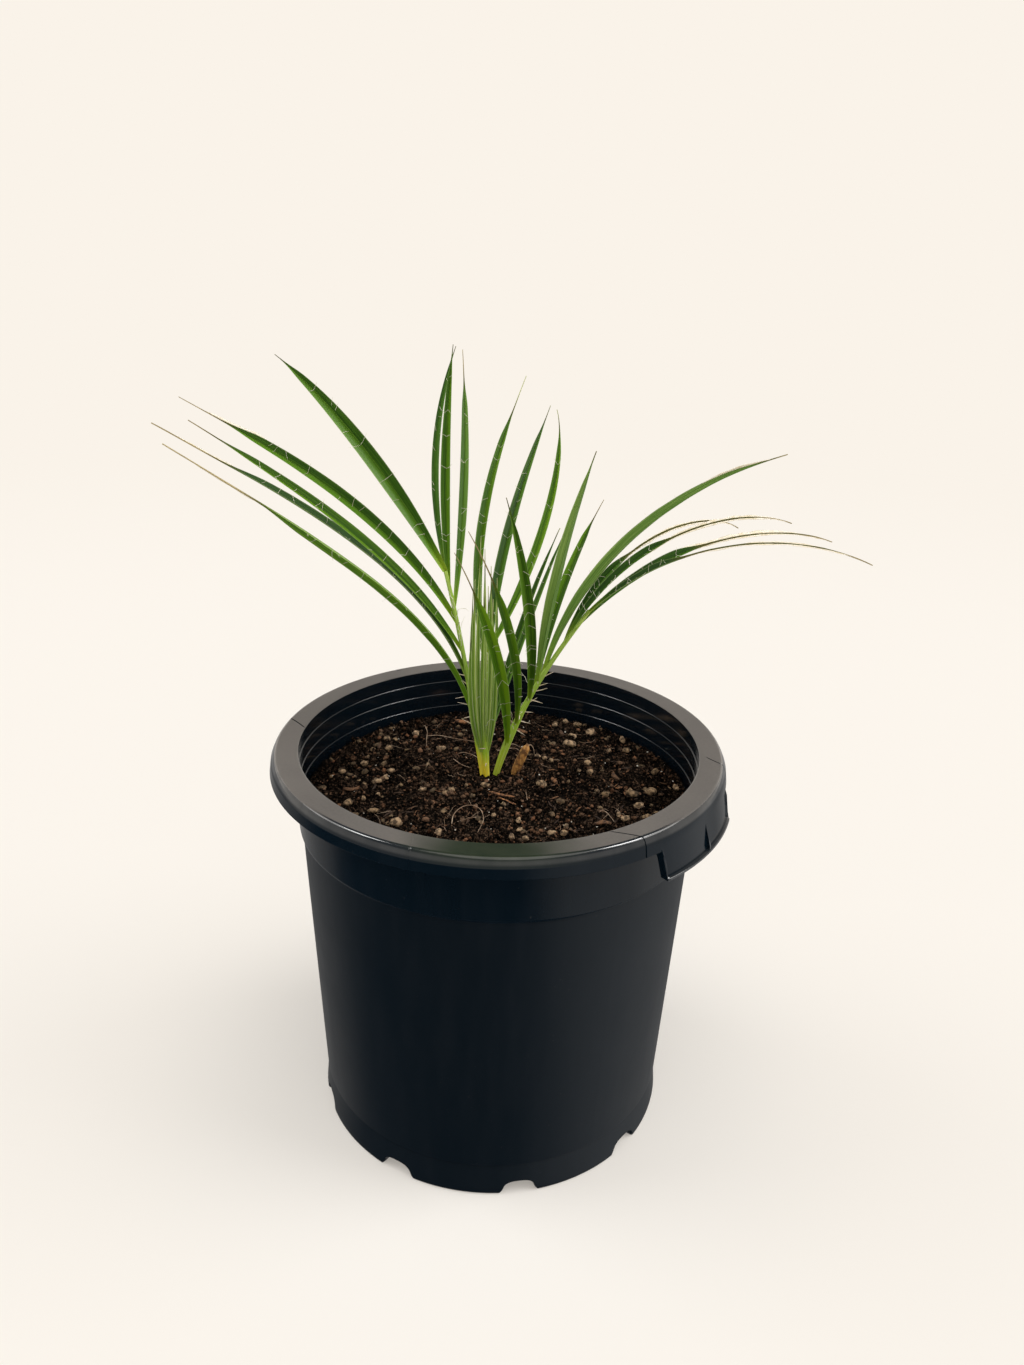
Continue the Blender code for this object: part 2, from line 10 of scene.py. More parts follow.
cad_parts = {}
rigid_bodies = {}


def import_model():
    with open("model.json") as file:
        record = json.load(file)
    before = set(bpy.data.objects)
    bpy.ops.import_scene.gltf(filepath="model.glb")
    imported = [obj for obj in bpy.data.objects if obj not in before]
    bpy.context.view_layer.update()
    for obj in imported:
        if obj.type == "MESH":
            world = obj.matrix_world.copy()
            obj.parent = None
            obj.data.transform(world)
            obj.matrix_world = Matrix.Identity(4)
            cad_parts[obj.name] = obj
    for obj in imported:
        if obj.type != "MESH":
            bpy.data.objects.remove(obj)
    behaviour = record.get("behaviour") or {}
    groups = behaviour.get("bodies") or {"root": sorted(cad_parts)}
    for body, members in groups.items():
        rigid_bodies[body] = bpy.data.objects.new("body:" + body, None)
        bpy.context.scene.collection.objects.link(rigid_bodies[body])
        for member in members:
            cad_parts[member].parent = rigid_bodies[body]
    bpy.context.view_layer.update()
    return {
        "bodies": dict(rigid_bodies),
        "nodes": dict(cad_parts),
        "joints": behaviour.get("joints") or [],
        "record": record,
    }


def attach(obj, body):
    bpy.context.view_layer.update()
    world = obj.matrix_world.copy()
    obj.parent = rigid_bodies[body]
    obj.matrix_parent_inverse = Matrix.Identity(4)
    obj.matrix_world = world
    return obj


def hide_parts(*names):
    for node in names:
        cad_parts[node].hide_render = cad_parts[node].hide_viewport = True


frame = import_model()
print("frame loaded:", ", ".join(sorted(frame["nodes"])))

# The grips lie on the X axis, and headings are turned anticlockwise from +X, seen from above.


# A node socket that can be used in a sum: numbers go through Math nodes
class Wire:
    def __init__(self, finish, socket):
        self.finish = finish
        self.socket = socket

    def maths(self, operation, first, second=0.0):
        return self.finish.add("ShaderNodeMath", dict(operation=operation), {0: first, 1: second})

    def __add__(self, other):
        return self.maths("ADD", self, other)

    __radd__ = __add__

    def __mul__(self, other):
        return self.maths("MULTIPLY", self, other)

    __rmul__ = __mul__

    def __sub__(self, other):
        return self.maths("SUBTRACT", self, other)

    def __rsub__(self, other):
        return self.maths("SUBTRACT", other, self)

    def __pow__(self, other):
        return self.maths("POWER", self, other)

    def __abs__(self):
        return self.maths("ABSOLUTE", self)

    # 0 up to low, 1 from high on, and smooth between them
    def ramp(self, low, high):
        settings = dict(interpolation_type="SMOOTHSTEP")
        return self.finish.add("ShaderNodeMapRange", settings, {0: self, 1: low, 2: high})


# A node tree that nodes are added to and wired in
class Wiring:
    def __init__(self, tree):
        self.tree = tree

    def add(self, kind, settings, sockets, out=0):
        made = self.tree.nodes.new(kind)
        for name, value in settings.items():
            if name == "stops":
                for i, (place, shade) in enumerate(value):
                    stop = made.color_ramp.elements[i] if i < 2 else made.color_ramp.elements.new(place)
                    stop.position = place
                    stop.color = (*shade, 1.0)
            else:
                setattr(made, name, value)
        for name, value in sockets.items():
            if isinstance(value, Wire):
                self.tree.links.new(value.socket, made.inputs[name])
            else:
                made.inputs[name].default_value = value
        return Wire(self, made.outputs[out])

    def colours(self, amount, stops):
        return self.add("ShaderNodeValToRGB", dict(stops=stops), {0: amount})

    def blend(self, amount, first, second, mode="MIX"):
        first, second = (x if isinstance(x, Wire) else (*x, 1.0) for x in (first, second))
        settings = dict(data_type="RGBA", blend_type=mode)
        return self.add("ShaderNodeMix", settings, {0: amount, 6: first, 7: second}, out=2)

    def part(self, vector, index):
        return self.add("ShaderNodeSeparateXYZ", {}, {0: vector}, out=index)


# One material and what it is wired from
class Finish(Wiring):
    def __init__(self, name, **uniform):
        self.material = bpy.data.materials.new(name)
        self.material.use_nodes = True
        super().__init__(self.material.node_tree)
        self.shader = self.tree.nodes["Principled BSDF"]
        for socket, value in uniform.items():
            self.shader.inputs[socket.replace("_", " ")].default_value = value

    # Places on the object in metres, squeezed or stretched along each axis
    def place(self, stretch=(1.0, 1.0, 1.0)):
        spot = self.add("ShaderNodeTexCoord", {}, {}, out=3)
        return self.add("ShaderNodeMapping", {}, {0: spot, 3: stretch})

    def grain(self, size, detail=2.0, roughness=0.5, stretch=(1.0, 1.0, 1.0)):
        sockets = {"Vector": self.place(stretch), "Scale": 1.0 / size, "Detail": detail, "Roughness": roughness}
        return self.add("ShaderNodeTexNoise", {}, sockets)

    def cells(self, size, feature="F1"):
        sockets = {"Vector": self.place(), "Scale": 1.0 / size}
        return self.add("ShaderNodeTexVoronoi", dict(feature=feature), sockets)

    def mark(self, name, index):
        return self.part(self.add("ShaderNodeAttribute", dict(attribute_name=name), {}, out=1), index)

    def feed(self, socket, wire):
        self.tree.links.new(wire.socket, self.shader.inputs[socket])

    def bump(self, height, distance, strength=1.0):
        sockets = {"Height": height, "Distance": distance, "Strength": strength}
        self.feed("Normal", self.add("ShaderNodeBump", {}, sockets))


def polar(radius, degrees, z=0.0):
    angle = math.radians(degrees)
    return Vector((radius * math.cos(angle), radius * math.sin(angle), z))


def smooth(low, high, value):
    share = min(1.0, max(0.0, (value - low) / (high - low)))
    return share * share * (3.0 - 2.0 * share)


def makeObject(name, points, faces, finish, marks=None, sharpAngle=None):
    mesh = bpy.data.meshes.new(name)
    mesh.from_pydata([tuple(p) for p in points], [], faces)
    for label, values in (marks or {}).items():
        layer = mesh.attributes.new(label, "FLOAT_VECTOR", "POINT")
        layer.data.foreach_set("vector", np.asarray(values, np.float32).ravel())
    mesh.materials.append(finish.material)
    mesh.shade_smooth()
    if sharpAngle:
        mesh.set_sharp_from_angle(angle=math.radians(sharpAngle))
    made = bpy.data.objects.new(name, mesh)
    bpy.context.scene.collection.objects.link(made)
    return made


def settle(piece, slot, *replaced):
    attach(piece, "root")
    if replaced:
        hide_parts(*replaced)


# Points and faces of one piece, gathered from many small shapes
class Heap:
    def __init__(self):
        self.points = []
        self.faces = []
        self.marks = {}

    def put(self, points, faces, **marks):
        start = len(self.points)
        self.points.extend(points)
        self.faces.extend(tuple(start + i for i in face) for face in faces)
        for label, value in marks.items():
            values = value if isinstance(value, list) else [value] * len(points)
            self.marks.setdefault(label, []).extend(values)

    # Rings of equal size skinned one after another, with both ends closed
    def loft(self, rings, **marks):
        count = len(rings[0])
        faces = []
        for row in range(len(rings) - 1):
            for i in range(count):
                j = (i + 1) % count
                low, high = row * count, (row + 1) * count
                faces.append((low + i, low + j, high + j, high + i))
        faces.append(tuple(reversed(range(count))))
        faces.append(tuple(range((len(rings) - 1) * count, len(rings) * count)))
        self.put([p for ring in rings for p in ring], faces, **marks)

    # A thread along a path, round, thinning from one radius to the other
    def thread(self, path, radius, endRadius, sides=5, **marks):
        rings = []
        for i, point in enumerate(path):
            ahead = path[min(i + 1, len(path) - 1)] - path[max(i - 1, 0)]
            if ahead.length < 1e-9:
                ahead = Vector((0.0, 0.0, 1.0))
            turn = ahead.to_track_quat("Z", "Y").to_matrix()
            share = i / (len(path) - 1)
            size = radius + (endRadius - radius) * share
            ring = [point + turn @ polar(size, 360.0 * k / sides) for k in range(sides)]
            rings.append(ring)
        self.loft(rings, **marks)

    def build(self, name, finish, sharpAngle=None):
        return makeObject(name, self.points, self.faces, finish, self.marks, sharpAngle)


# A smooth path through a few given points
def curved(points, steps):
    points = [Vector(p) for p in points]
    ends = [2 * points[0] - points[1]] + points + [2 * points[-1] - points[-2]]
    path = []
    for a, b, c, d in zip(ends, ends[1:], ends[2:], ends[3:]):
        for i in range(steps):
            t = i / steps
            path.append(0.5 * (2 * b + (c - a) * t + (2 * a - 5 * b + 4 * c - d) * t ** 2
                               + (3 * b - a - 3 * c + d) * t ** 3))
    return path + [points[-1]]


# Pot: a turned body whose skirt drops and flares at the two grips
pot = dict(
    steps=240,
    rimRadius=0.1250, rimTop=0.2288, rimInner=0.1108, rimFlat=0.1220, skin=0.0017,
    rimEdge=((0.1226, 0.00002), (0.1230, 0.00012), (0.1233, 0.0003), (0.1236, 0.0006), (0.1239, 0.0010),
             (0.1242, 0.0015), (0.1246, 0.0023), (0.1250, 0.0033)), edgeFoot=0.0048,
    skirtRadius=0.1265, skirtBottom=0.2183,
    bandRadius=0.1130, bandDraft=0.0010, bandBottom=0.1847,
    wallTop=0.1105, wallFoot=0.1022, footHeight=0.0199, footStep=0.0007, base=0.1030,
    wallThickness=0.0020, floorThickness=0.0026, floorRise=0.0030, centrePad=0.030, ringFoot=0.087,
    innerRings=(0.2205, 0.2120, 0.2035, 0.1955), innerRingStep=0.0004,
)

grip = dict(
    headings=(0.0, 180.0), halfSpanTop=17.8, halfSpanBottom=16.6,
    bottom=0.2028, beadTop=0.2056, radius=0.1286, beadOut=0.0020, beadHeight=0.0024,
    endOut=0.0008, endWidth=0.0013, endRib=0.0020, gussetHeight=0.0125, gussetThickness=0.0011,
)

# Moulding seams of the rim: heading, how far in over the top they reach, depth, and the heading
# that they have gained at the inner edge
seams = [
    dict(heading=-22.3, reach=1.0, depth=0.00050, bend=-5.8),
    dict(heading=22.3, reach=0.70, depth=0.00055, bend=5.8),
    dict(heading=157.7, reach=0.30, depth=0.00045, bend=-5.8),
    dict(heading=202.3, reach=0.95, depth=0.00050, bend=5.8),
    dict(heading=-75.5, reach=0.90, depth=0.00014, bend=-2.0),
]
seamHalfWidth = 0.16

notch = dict(count=9, first=-7.0, halfWidth=0.0105, height=0.0080, flare=0.0015, inner=0.0885, outer=0.1100)


def gripShare(degrees):
    for heading in grip["headings"]:
        away = abs((degrees - heading + 180.0) % 360.0 - 180.0)
        if away <= grip["halfSpanTop"]:
            return away
    return None


# Height of the skirt's free edge, and how far a point of the skirt lies from a grip's slanted end
def skirtEdge(degrees):
    away = gripShare(degrees)
    if away is None:
        return pot["skirtBottom"]
    slope = (grip["halfSpanTop"] - away) / (grip["halfSpanTop"] - grip["halfSpanBottom"])
    return pot["skirtBottom"] + (grip["bottom"] - pot["skirtBottom"]) * min(1.0, slope)


def endDistance(degrees, z):
    away = gripShare(degrees)
    if away is None or z > pot["skirtBottom"]:
        return 1.0
    drop = (pot["skirtBottom"] - z) / (pot["skirtBottom"] - grip["bottom"])
    end = grip["halfSpanTop"] + (grip["halfSpanBottom"] - grip["halfSpanTop"]) * drop
    return math.radians(end - away) * pot["skirtRadius"]


def skirtOuter(degrees, z):
    low = pot["skirtBottom"]
    if z >= low:
        slope = (pot["skirtRadius"] - pot["rimRadius"]) / (pot["rimTop"] - low)
        radius = pot["rimRadius"] + (pot["rimTop"] - z) * slope
    else:
        slope = (grip["radius"] - pot["skirtRadius"]) / (low - grip["beadTop"])
        radius = pot["skirtRadius"] + (low - z) * slope
    if gripShare(degrees) is not None and z < low:
        fromEdge = z - skirtEdge(degrees)
        bead = grip["beadOut"] * (1.0 - smooth(grip["beadHeight"] - 0.0009, grip["beadHeight"], fromEdge))
        fade = smooth(grip["halfSpanTop"], grip["halfSpanBottom"] - 1.0, gripShare(degrees))
        endBead = grip["endOut"] * (1.0 - smooth(grip["endWidth"] - 0.0006, grip["endWidth"], endDistance(degrees, z)))
        radius += max(bead * fade, endBead * smooth(low, low - 0.002, z))
        radius = min(radius, grip["radius"] + grip["beadOut"])
    return radius


def skirtInner(degrees, z):
    low = pot["skirtBottom"]
    slope = (grip["radius"] - pot["skirtRadius"]) / (low - grip["beadTop"])
    radius = pot["skirtRadius"] - pot["skin"]
    radius += (low - z) * (slope if z < low else (pot["skirtRadius"] - pot["rimRadius"]) / (pot["rimTop"] - low))
    if gripShare(degrees) is not None and z < low:
        radius -= grip["endRib"] * (1.0 - smooth(0.0009, 0.0013, endDistance(degrees, z)))
    return radius


# Rows of one station, from the inside floor over the rim and down to the underside. Each row is radius,
# height, how much of a seam it takes, and the way in that a seam presses it.
def potRows(degrees):
    p = pot
    floorOuter = p["wallFoot"] - p["wallThickness"]
    top, inner = p["rimTop"], p["rimInner"]
    rows = [
        (p["centrePad"], p["floorThickness"]),
        (p["centrePad"] + 0.003, p["floorRise"] + p["floorThickness"]),
        (p["ringFoot"] - 0.003, p["floorRise"] + p["floorThickness"]),
        (p["ringFoot"], p["floorThickness"]),
        (floorOuter - 0.002, p["floorThickness"]),
        (floorOuter - 0.0006, p["floorThickness"] + 0.002),
        (floorOuter, p["footHeight"]),
    ]
    radius = inner - p["innerRingStep"] * len(p["innerRings"])
    rows.append((radius - 0.0006, p["bandBottom"]))
    for height in reversed(p["innerRings"]):
        rows += [(radius, height - 0.0016), (radius, height - 0.00032), (radius + 0.00005, height - 0.00010),
                 (radius + 0.00016, height), (radius + p["innerRingStep"], height + 0.00004),
                 (radius + p["innerRingStep"], height + 0.0010)]
        radius += p["innerRingStep"]
    rows += [(inner, top - 0.0030), (inner, top - 0.0006), (inner + 0.00012, top - 0.00022), (inner + 0.0005, top)]
    rows = [(r, z, 0.0, (0.0, 0.0)) for r, z in rows]
    flatEnd = p["rimFlat"]
    for share in (0.06, 0.14, 0.30, 0.45, 0.60, 0.75, 0.90, 1.0):
        radius = inner + 0.0005 + (flatEnd - inner - 0.0005) * share
        rows.append((radius, top, 1.0, (0.0, -1.0)))
    rows += [(radius, top - drop, 1.0, (-0.7, -0.7)) for radius, drop in p["rimEdge"]]
    edge = skirtEdge(degrees)
    startZ = top - p["edgeFoot"]
    fromEdge = [0.0032, 0.0028, 0.0024, 0.0021, 0.0018, 0.0015, 0.0009, 0.0003]
    heights = [startZ + (edge + fromEdge[0] - startZ) * share for share in (0.0, 0.18, 0.36, 0.54, 0.70, 0.86)]
    heights += [edge + d for d in fromEdge]
    rows += [(skirtOuter(degrees, z), z, 1.0, (-1.0, 0.0)) for z in heights]
    outer, innerSkirt = skirtOuter(degrees, edge), skirtInner(degrees, edge)
    rows += [(outer - 0.0003, edge, 1.0, (-1.0, 0.0)), (innerSkirt + 0.0003, edge, 0.0, (0.0, 0.0))]
    underside = top - p["skin"] - 0.0004
    back = [edge + 0.0003, edge + 0.0012, edge + 0.0026]
    back += [back[-1] + (underside - back[-1]) * share for share in (0.25, 0.5, 0.75, 1.0)]
    rows += [(skirtInner(degrees, z), z, 0.0, (0.0, 0.0)) for z in back]
    plain = [
        (p["bandRadius"] + 0.0010, underside), (p["bandRadius"] + 0.0002, underside - 0.0003),
        (p["bandRadius"] - 0.00004, underside - 0.0012),
        (p["bandRadius"] - p["bandDraft"] * 0.96, p["bandBottom"] + 0.0014),
        (p["bandRadius"] - p["bandDraft"] - 0.0001, p["bandBottom"] + 0.0005),
        (p["bandRadius"] - p["bandDraft"] - 0.0004, p["bandBottom"] + 0.0001),
        (p["wallTop"] + 0.0003, p["bandBottom"] - 0.0001), (p["wallTop"], p["bandBottom"] - 0.0005),
        (p["wallTop"] - 0.0002, p["bandBottom"] - 0.0022),
    ]
    for share in (0.25, 0.5, 0.75):
        plain.append((p["wallTop"] + (p["wallFoot"] - p["wallTop"]) * share,
                      p["bandBottom"] + (p["footHeight"] - p["bandBottom"]) * share))
    plain += [
        (p["wallFoot"] + 0.00006, p["footHeight"] + 0.0016), (p["wallFoot"], p["footHeight"] + 0.0004),
        (p["wallFoot"] - 0.0003, p["footHeight"] + 0.0001),
        (p["wallFoot"] - p["footStep"], p["footHeight"] - 0.0003),
        (p["wallFoot"] - p["footStep"] + 0.0001, p["footHeight"] - 0.0018),
        (p["base"] - 0.0003, 0.0060), (p["base"], 0.0024), (p["base"] - 0.0002, 0.0011), (p["base"] - 0.0007, 0.0003),
        (p["base"] - 0.0016, 0.0), (p["ringFoot"] + 0.001, 0.0), (p["ringFoot"], 0.0003),
        (p["ringFoot"] - 0.003, p["floorRise"]), (p["centrePad"] + 0.003, p["floorRise"]), (p["centrePad"], 0.0),
    ]
    return rows + [(r, z, 0.0, (0.0, 0.0)) for r, z in plain]


def potStations():
    stations = [360.0 * i / pot["steps"] for i in range(pot["steps"])]
    fine = []
    for heading in grip["headings"]:
        for side in (-1, 1):
            fine += [heading + side * away for away in
                     (18.3, 17.95, 17.8, 17.6, 17.4, 17.2, 17.0, 16.8, 16.6, 16.4, 16.2, 16.0, 15.8, 15.5, 15.1, 14.5)]
    for seam in seams:
        fine += [seam["heading"] + seamHalfWidth * k for k in (-2.2, -1.5, -0.75, -0.4, 0.0, 0.4, 0.75, 1.5, 2.2)]
    fine = [f % 360.0 for f in fine]
    kept = [s for s in stations if all(abs((s - f + 180.0) % 360.0 - 180.0) > 0.30 for f in fine)]
    return sorted(kept + fine)


def makePot(finish):
    stations = potStations()
    points = []
    top, inner, outerFlat = pot["rimTop"], pot["rimInner"], pot["rimRadius"]
    for degrees in stations:
        for radius, z, share, inward in potRows(degrees):
            turn = 0.0
            press = 0.0
            for seam in seams:
                away = (degrees - seam["heading"] + 180.0) % 360.0 - 180.0
                if abs(away) > 14.0:
                    continue
                across = min(1.0, max(0.0, (outerFlat - radius) / (outerFlat - inner)))
                if z < top - 0.012 or radius < inner - 0.0003:
                    fade = 0.0
                elif radius < inner + 0.0003:
                    fade = smooth(top - 0.012, top - 0.001, z)
                else:
                    fade = 1.0
                turn += seam["bend"] * across ** 1.4 * fade * (1.0 - smooth(1.0, 14.0, abs(away)))
                groove = 1.0 - smooth(0.75 * seamHalfWidth, 1.5 * seamHalfWidth, abs(away))
                press += seam["depth"] * groove * share * (1.0 if across <= seam["reach"] else 0.0)
            points.append(polar(radius + inward[0] * press, degrees + turn, z + inward[1] * press))
    rowCount = len(potRows(0.0))
    faces = []
    for s in range(len(stations)):
        n = (s + 1) % len(stations)
        for row in range(rowCount - 1):
            a, b = s * rowCount + row, n * rowCount + row
            faces.append((a, b, b + 1, a + 1))
    faces.append(tuple(s * rowCount for s in reversed(range(len(stations)))))
    faces.append(tuple(s * rowCount + rowCount - 1 for s in range(len(stations))))
    shell = makeObject("potShell", points, faces, finish)
    bm = bmesh.new()
    bm.from_mesh(shell.data)
    bmesh.ops.recalc_face_normals(bm, faces=bm.faces)
    bm.to_mesh(shell.data)
    bm.free()
    return shell


def gussetHeap(heap):
    foot, height = grip["beadTop"], grip["gussetHeight"]
    outline = [
        (grip["radius"] - 0.0010, foot - 0.0010), (grip["radius"] + grip["beadOut"] - 0.0004, foot - 0.0010),
        (grip["radius"] + grip["beadOut"] - 0.0004, foot + 0.0008),
        (pot["skirtRadius"] + 0.0001, foot + height), (pot["skirtRadius"] - 0.0012, foot + height),
    ]
    for heading in grip["headings"]:
        turn = Matrix.Rotation(math.radians(heading), 3, "Z")
        half = grip["gussetThickness"] / 2
        heap.loft([[turn @ Vector((r, side * half, z)) for r, z in outline] for side in (-1, 1)])


# An arch whose edge is turned out a little where it meets the wall
def notchHeap(heap):
    steps = 22
    for k in range(notch["count"]):
        heading = notch["first"] + 360.0 * k / notch["count"]
        rings = []
        for radius, grow in ((notch["inner"], 0.0), (0.1010, 0.0), (0.10205, 0.0002), (0.10275, 0.0007),
                             (0.1034, 0.0016), (notch["outer"], 0.0016)):
            ring = []
            for i in range(steps + 1):
                tilt = math.pi * i / steps
                side = math.copysign(abs(math.cos(tilt)) ** 0.72, math.cos(tilt))
                z = notch["height"] * math.sin(tilt) ** 0.80
                flare = notch["flare"] * max(0.0, 1.0 - z / 0.0030) ** 2
                across = side * (notch["halfWidth"] - notch["flare"] + flare + grow)
                ring.append((across, z + grow))
            ring = [(ring[0][0], -0.002)] + ring + [(ring[-1][0], -0.002)]
            rings.append([polar(radius, heading + math.degrees(across / 0.1028), z) for across, z in ring])
        heap.loft(rings)


def cutter(name, build, finish):
    heap = Heap()
    build(heap)
    made = heap.build(name, finish)
    bm = bmesh.new()
    bm.from_mesh(made.data)
    bmesh.ops.recalc_face_normals(bm, faces=bm.faces)
    bm.to_mesh(made.data)
    bm.free()
    return made


def combine(body, operation, tool):
    modifier = body.modifiers.new(operation, "BOOLEAN")
    modifier.operation = operation
    modifier.solver = "EXACT"
    modifier.object = tool
    bakeModifiers(body)
    bpy.data.objects.remove(tool, do_unlink=True)


def bakeModifiers(body):
    graph = bpy.context.evaluated_depsgraph_get()
    mesh = bpy.data.meshes.new_from_object(body.evaluated_get(graph))
    body.modifiers.clear()
    body.data = mesh


def plasticFinish():
    f = Finish("blackPotPlastic", Specular_IOR_Level=0.20, Coat_Roughness=0.14)
    height = f.part(f.place(), 2)
    radius = f.add("ShaderNodeVectorMath", dict(operation="LENGTH"), {0: f.place((1.0, 1.0, 0.0))}, out=1)
    onTop = height.ramp(0.2282, 0.2286)
    # The top of the rim carries a grey bloom of dust and old water
    facing = f.part(f.add("ShaderNodeNewGeometry", {}, {}, out=1), 2)
    cloud = f.grain(0.030, 3.0)
    streak = f.grain(0.010, 3.0, 0.6, (1.0, 1.0, 0.12))
    # The top of the rim carries a grey bloom of dust and old water; the same grey is partly painted light, as faces
    # that look up are painted lighter, most of all the very top of the rim
    flecks = f.grain(0.0011, 1.0).ramp(0.70, 0.80)
    dustAndTopLight = facing.ramp(0.2, 0.9) * (0.10 + 0.90 * onTop) * height.ramp(0.20, 0.21) * (0.72 + 0.45 * cloud)
    # Painted shade: at the front the grey stops short of the rim's outer edge, so a dark line shows there beside the
    # edge's highlight
    front = f.add("ShaderNodeVectorMath", dict(operation="DOT_PRODUCT"), {0: f.place(), 1: (0.54, -0.84, 0.0)}, out=1)
    dustAndTopLight = dustAndTopLight * (1.0 - radius.ramp(0.1217, 0.1224) * front.ramp(0.078, 0.098))
    base = f.blend(streak.ramp(0.35, 0.75) * 0.6, (0.0022, 0.0060, 0.0105), (0.0045, 0.0085, 0.0135))
    brushed = f.grain(0.0016, 3.0, 0.7)
    base = f.blend(dustAndTopLight * (0.80 + 0.36 * brushed), base, (0.128, 0.119, 0.112))
    # A greenish film of algae lies on the front of the rim
    spot = f.add("ShaderNodeVectorMath", dict(operation="DISTANCE"), {0: f.place(), 1: (0.064, -0.099, 0.2288)}, out=1)
    film = (1.0 - (spot + 0.016 * cloud).ramp(0.022, 0.062)) * facing.ramp(0.2, 0.8)
    base = f.blend(film, base, f.blend(f.grain(0.006, 4.0), (0.007, 0.016, 0.008), (0.022, 0.030, 0.017)))
    base = f.blend(flecks * f.grain(0.012).ramp(0.5, 0.7) * 0.20, base, (0.12, 0.11, 0.10))
    f.feed("Base Color", base)
    dull = 0.30 + 0.10 * cloud + 0.10 * streak + 0.12 * dustAndTopLight
    sleek = 0.09 + 0.05 * streak
    f.feed("Roughness", dull + (sleek - dull) * (1.0 - dustAndTopLight.ramp(0.1, 0.6)) * height.ramp(0.1835, 0.1850))
    # The inside of the collar and the rim's outer edge are still shiny
    inside = (1.0 - radius.ramp(0.1111, 0.1114)) * height.ramp(0.190, 0.194)
    edge = radius.ramp(0.1222, 0.1226) * height.ramp(0.2245, 0.2260)
    bead = radius.ramp(0.1290, 0.1297)
    f.feed("Coat Weight", inside + (edge + bead) * (0.4 + streak))
    f.bump(f.grain(0.0009, 2.0) * 0.35 + f.grain(0.016, 2.0), 0.00010, 0.6)
    return f


potPlastic = plasticFinish()
shell = makePot(potPlastic)
combine(shell, "UNION", cutter("gussets", gussetHeap, potPlastic))
combine(shell, "DIFFERENCE", cutter("notches", notchHeap, potPlastic))
shell.data.shade_smooth()
shell.data.set_sharp_from_angle(angle=math.radians(38))
weigh = shell.modifiers.new("evenNormals", "WEIGHTED_NORMAL")
weigh.keep_sharp = True
bakeModifiers(shell)
settle(shell, "pot_plastic", "pot")
print("pot:", len(shell.data.polygons), "faces")

# Potting mix
soil = dict(
    edge=0.1985, mound=0.0048, radius=0.1082, wallLow=0.0990, bottom=0.0060, bandBottom=0.1847,
    rings=92, sectors=380, roughness=0.0011, seed=7,
)
plantCentre = Vector((-0.004, 0.006))


def soilHeight(x, y):
    share = min(1.0, math.hypot(x, y) / pot["rimInner"])
    relief = noise.noise(Vector((x * 90.0, y * 90.0, 3.0)))
    relief += 0.6 * noise.noise(Vector((x * 210.0, y * 210.0, 7.0)))
    return soil["edge"] + soil["mound"] * (1.0 - share * share) + soil["roughness"] * relief


def soilSurface(x, y):
    small = abs(noise.noise(Vector((x * 400.0, y * 400.0, 1.0)))) * 2.0 - 0.5
    grit = noise.noise(Vector((x * 900.0, y * 900.0, 5.0)))
    clod = max(0.0, noise.noise(Vector((x * 150.0, y * 150.0, 11.0)))) ** 1.5
    return soilHeight(x, y) + 0.0011 * small + 0.0007 * grit + 0.0022 * clod - 0.0006


def soilFinish():
    f = Finish("pottingMix", Specular_IOR_Level=0.02)
    tone = f.mark("lumpTone", 0)
    warm = f.mark("lumpTone", 1)
    fine = f.grain(0.0012, 3.0, 0.7)
    patch = f.grain(0.022, 3.0)
    # Painted light and shade: the middles of the crumb cells are painted in the lit colour and the gaps between them
    # near black, as shade
    crumb = 1.0 - f.cells(0.0021).ramp(0.22, 0.62)
    paintedCrumbShading = f.blend(patch.ramp(0.40, 0.68), (0.0010, 0.0007, 0.0006), (0.0040, 0.0026, 0.0018))
    lit = f.blend(patch.ramp(0.38, 0.66), (0.042, 0.0280, 0.0195), (0.120, 0.076, 0.052))
    paintedCrumbShading = f.blend(crumb * fine.ramp(0.40, 0.62), paintedCrumbShading, lit)
    pale = f.blend(warm, (0.190, 0.125, 0.085), (0.240, 0.112, 0.060))
    mixed = f.blend((tone + 1.10 * fine - 0.58).ramp(0.10, 0.95), paintedCrumbShading, pale)
    mixed = f.blend(f.grain(0.0007, 1.0).ramp(0.69, 0.75) * 0.6, mixed, (0.20, 0.15, 0.105))
    f.feed("Base Color", mixed)
    f.feed("Roughness", 0.92 - 0.35 * f.grain(0.0030).ramp(0.55, 0.75))
    f.bump(f.grain(0.0011, 3.0, 0.7) + 0.8 * crumb, 0.00060, 1.0)
    return f


def makeSoilBody(finish):
    points = []
    sectors, rings = soil["sectors"], soil["rings"]
    for radius, z in ((soil["wallLow"], soil["bottom"]), (soil["radius"], soil["bandBottom"])):
        points += [polar(radius, 360.0 * i / sectors, z) for i in range(sectors)]
    for ring in range(rings):
        radius = soil["radius"] * (1.0 - ring / rings)
        for i in range(sectors):
            point = polar(radius, 360.0 * i / sectors)
            point.z = soilSurface(point.x, point.y)
            points.append(point)
    faces = [tuple(reversed(range(sectors)))]
    for row in range(rings + 1):
        for i in range(sectors):
            j = (i + 1) % sectors
            a, b = row * sectors, (row + 1) * sectors
            faces.append((a + i, a + j, b + j, b + i))
    points.append(Vector((0.0, 0.0, soilSurface(0.0, 0.0))))
    last = (rings + 1) * sectors
    faces += [(last + i, last + (i + 1) % sectors, len(points) - 1) for i in range(sectors)]
    return makeObject("soilMix", points, faces, finish, {"lumpTone": [(0.0, 0.2, 0.0)] * len(points)})


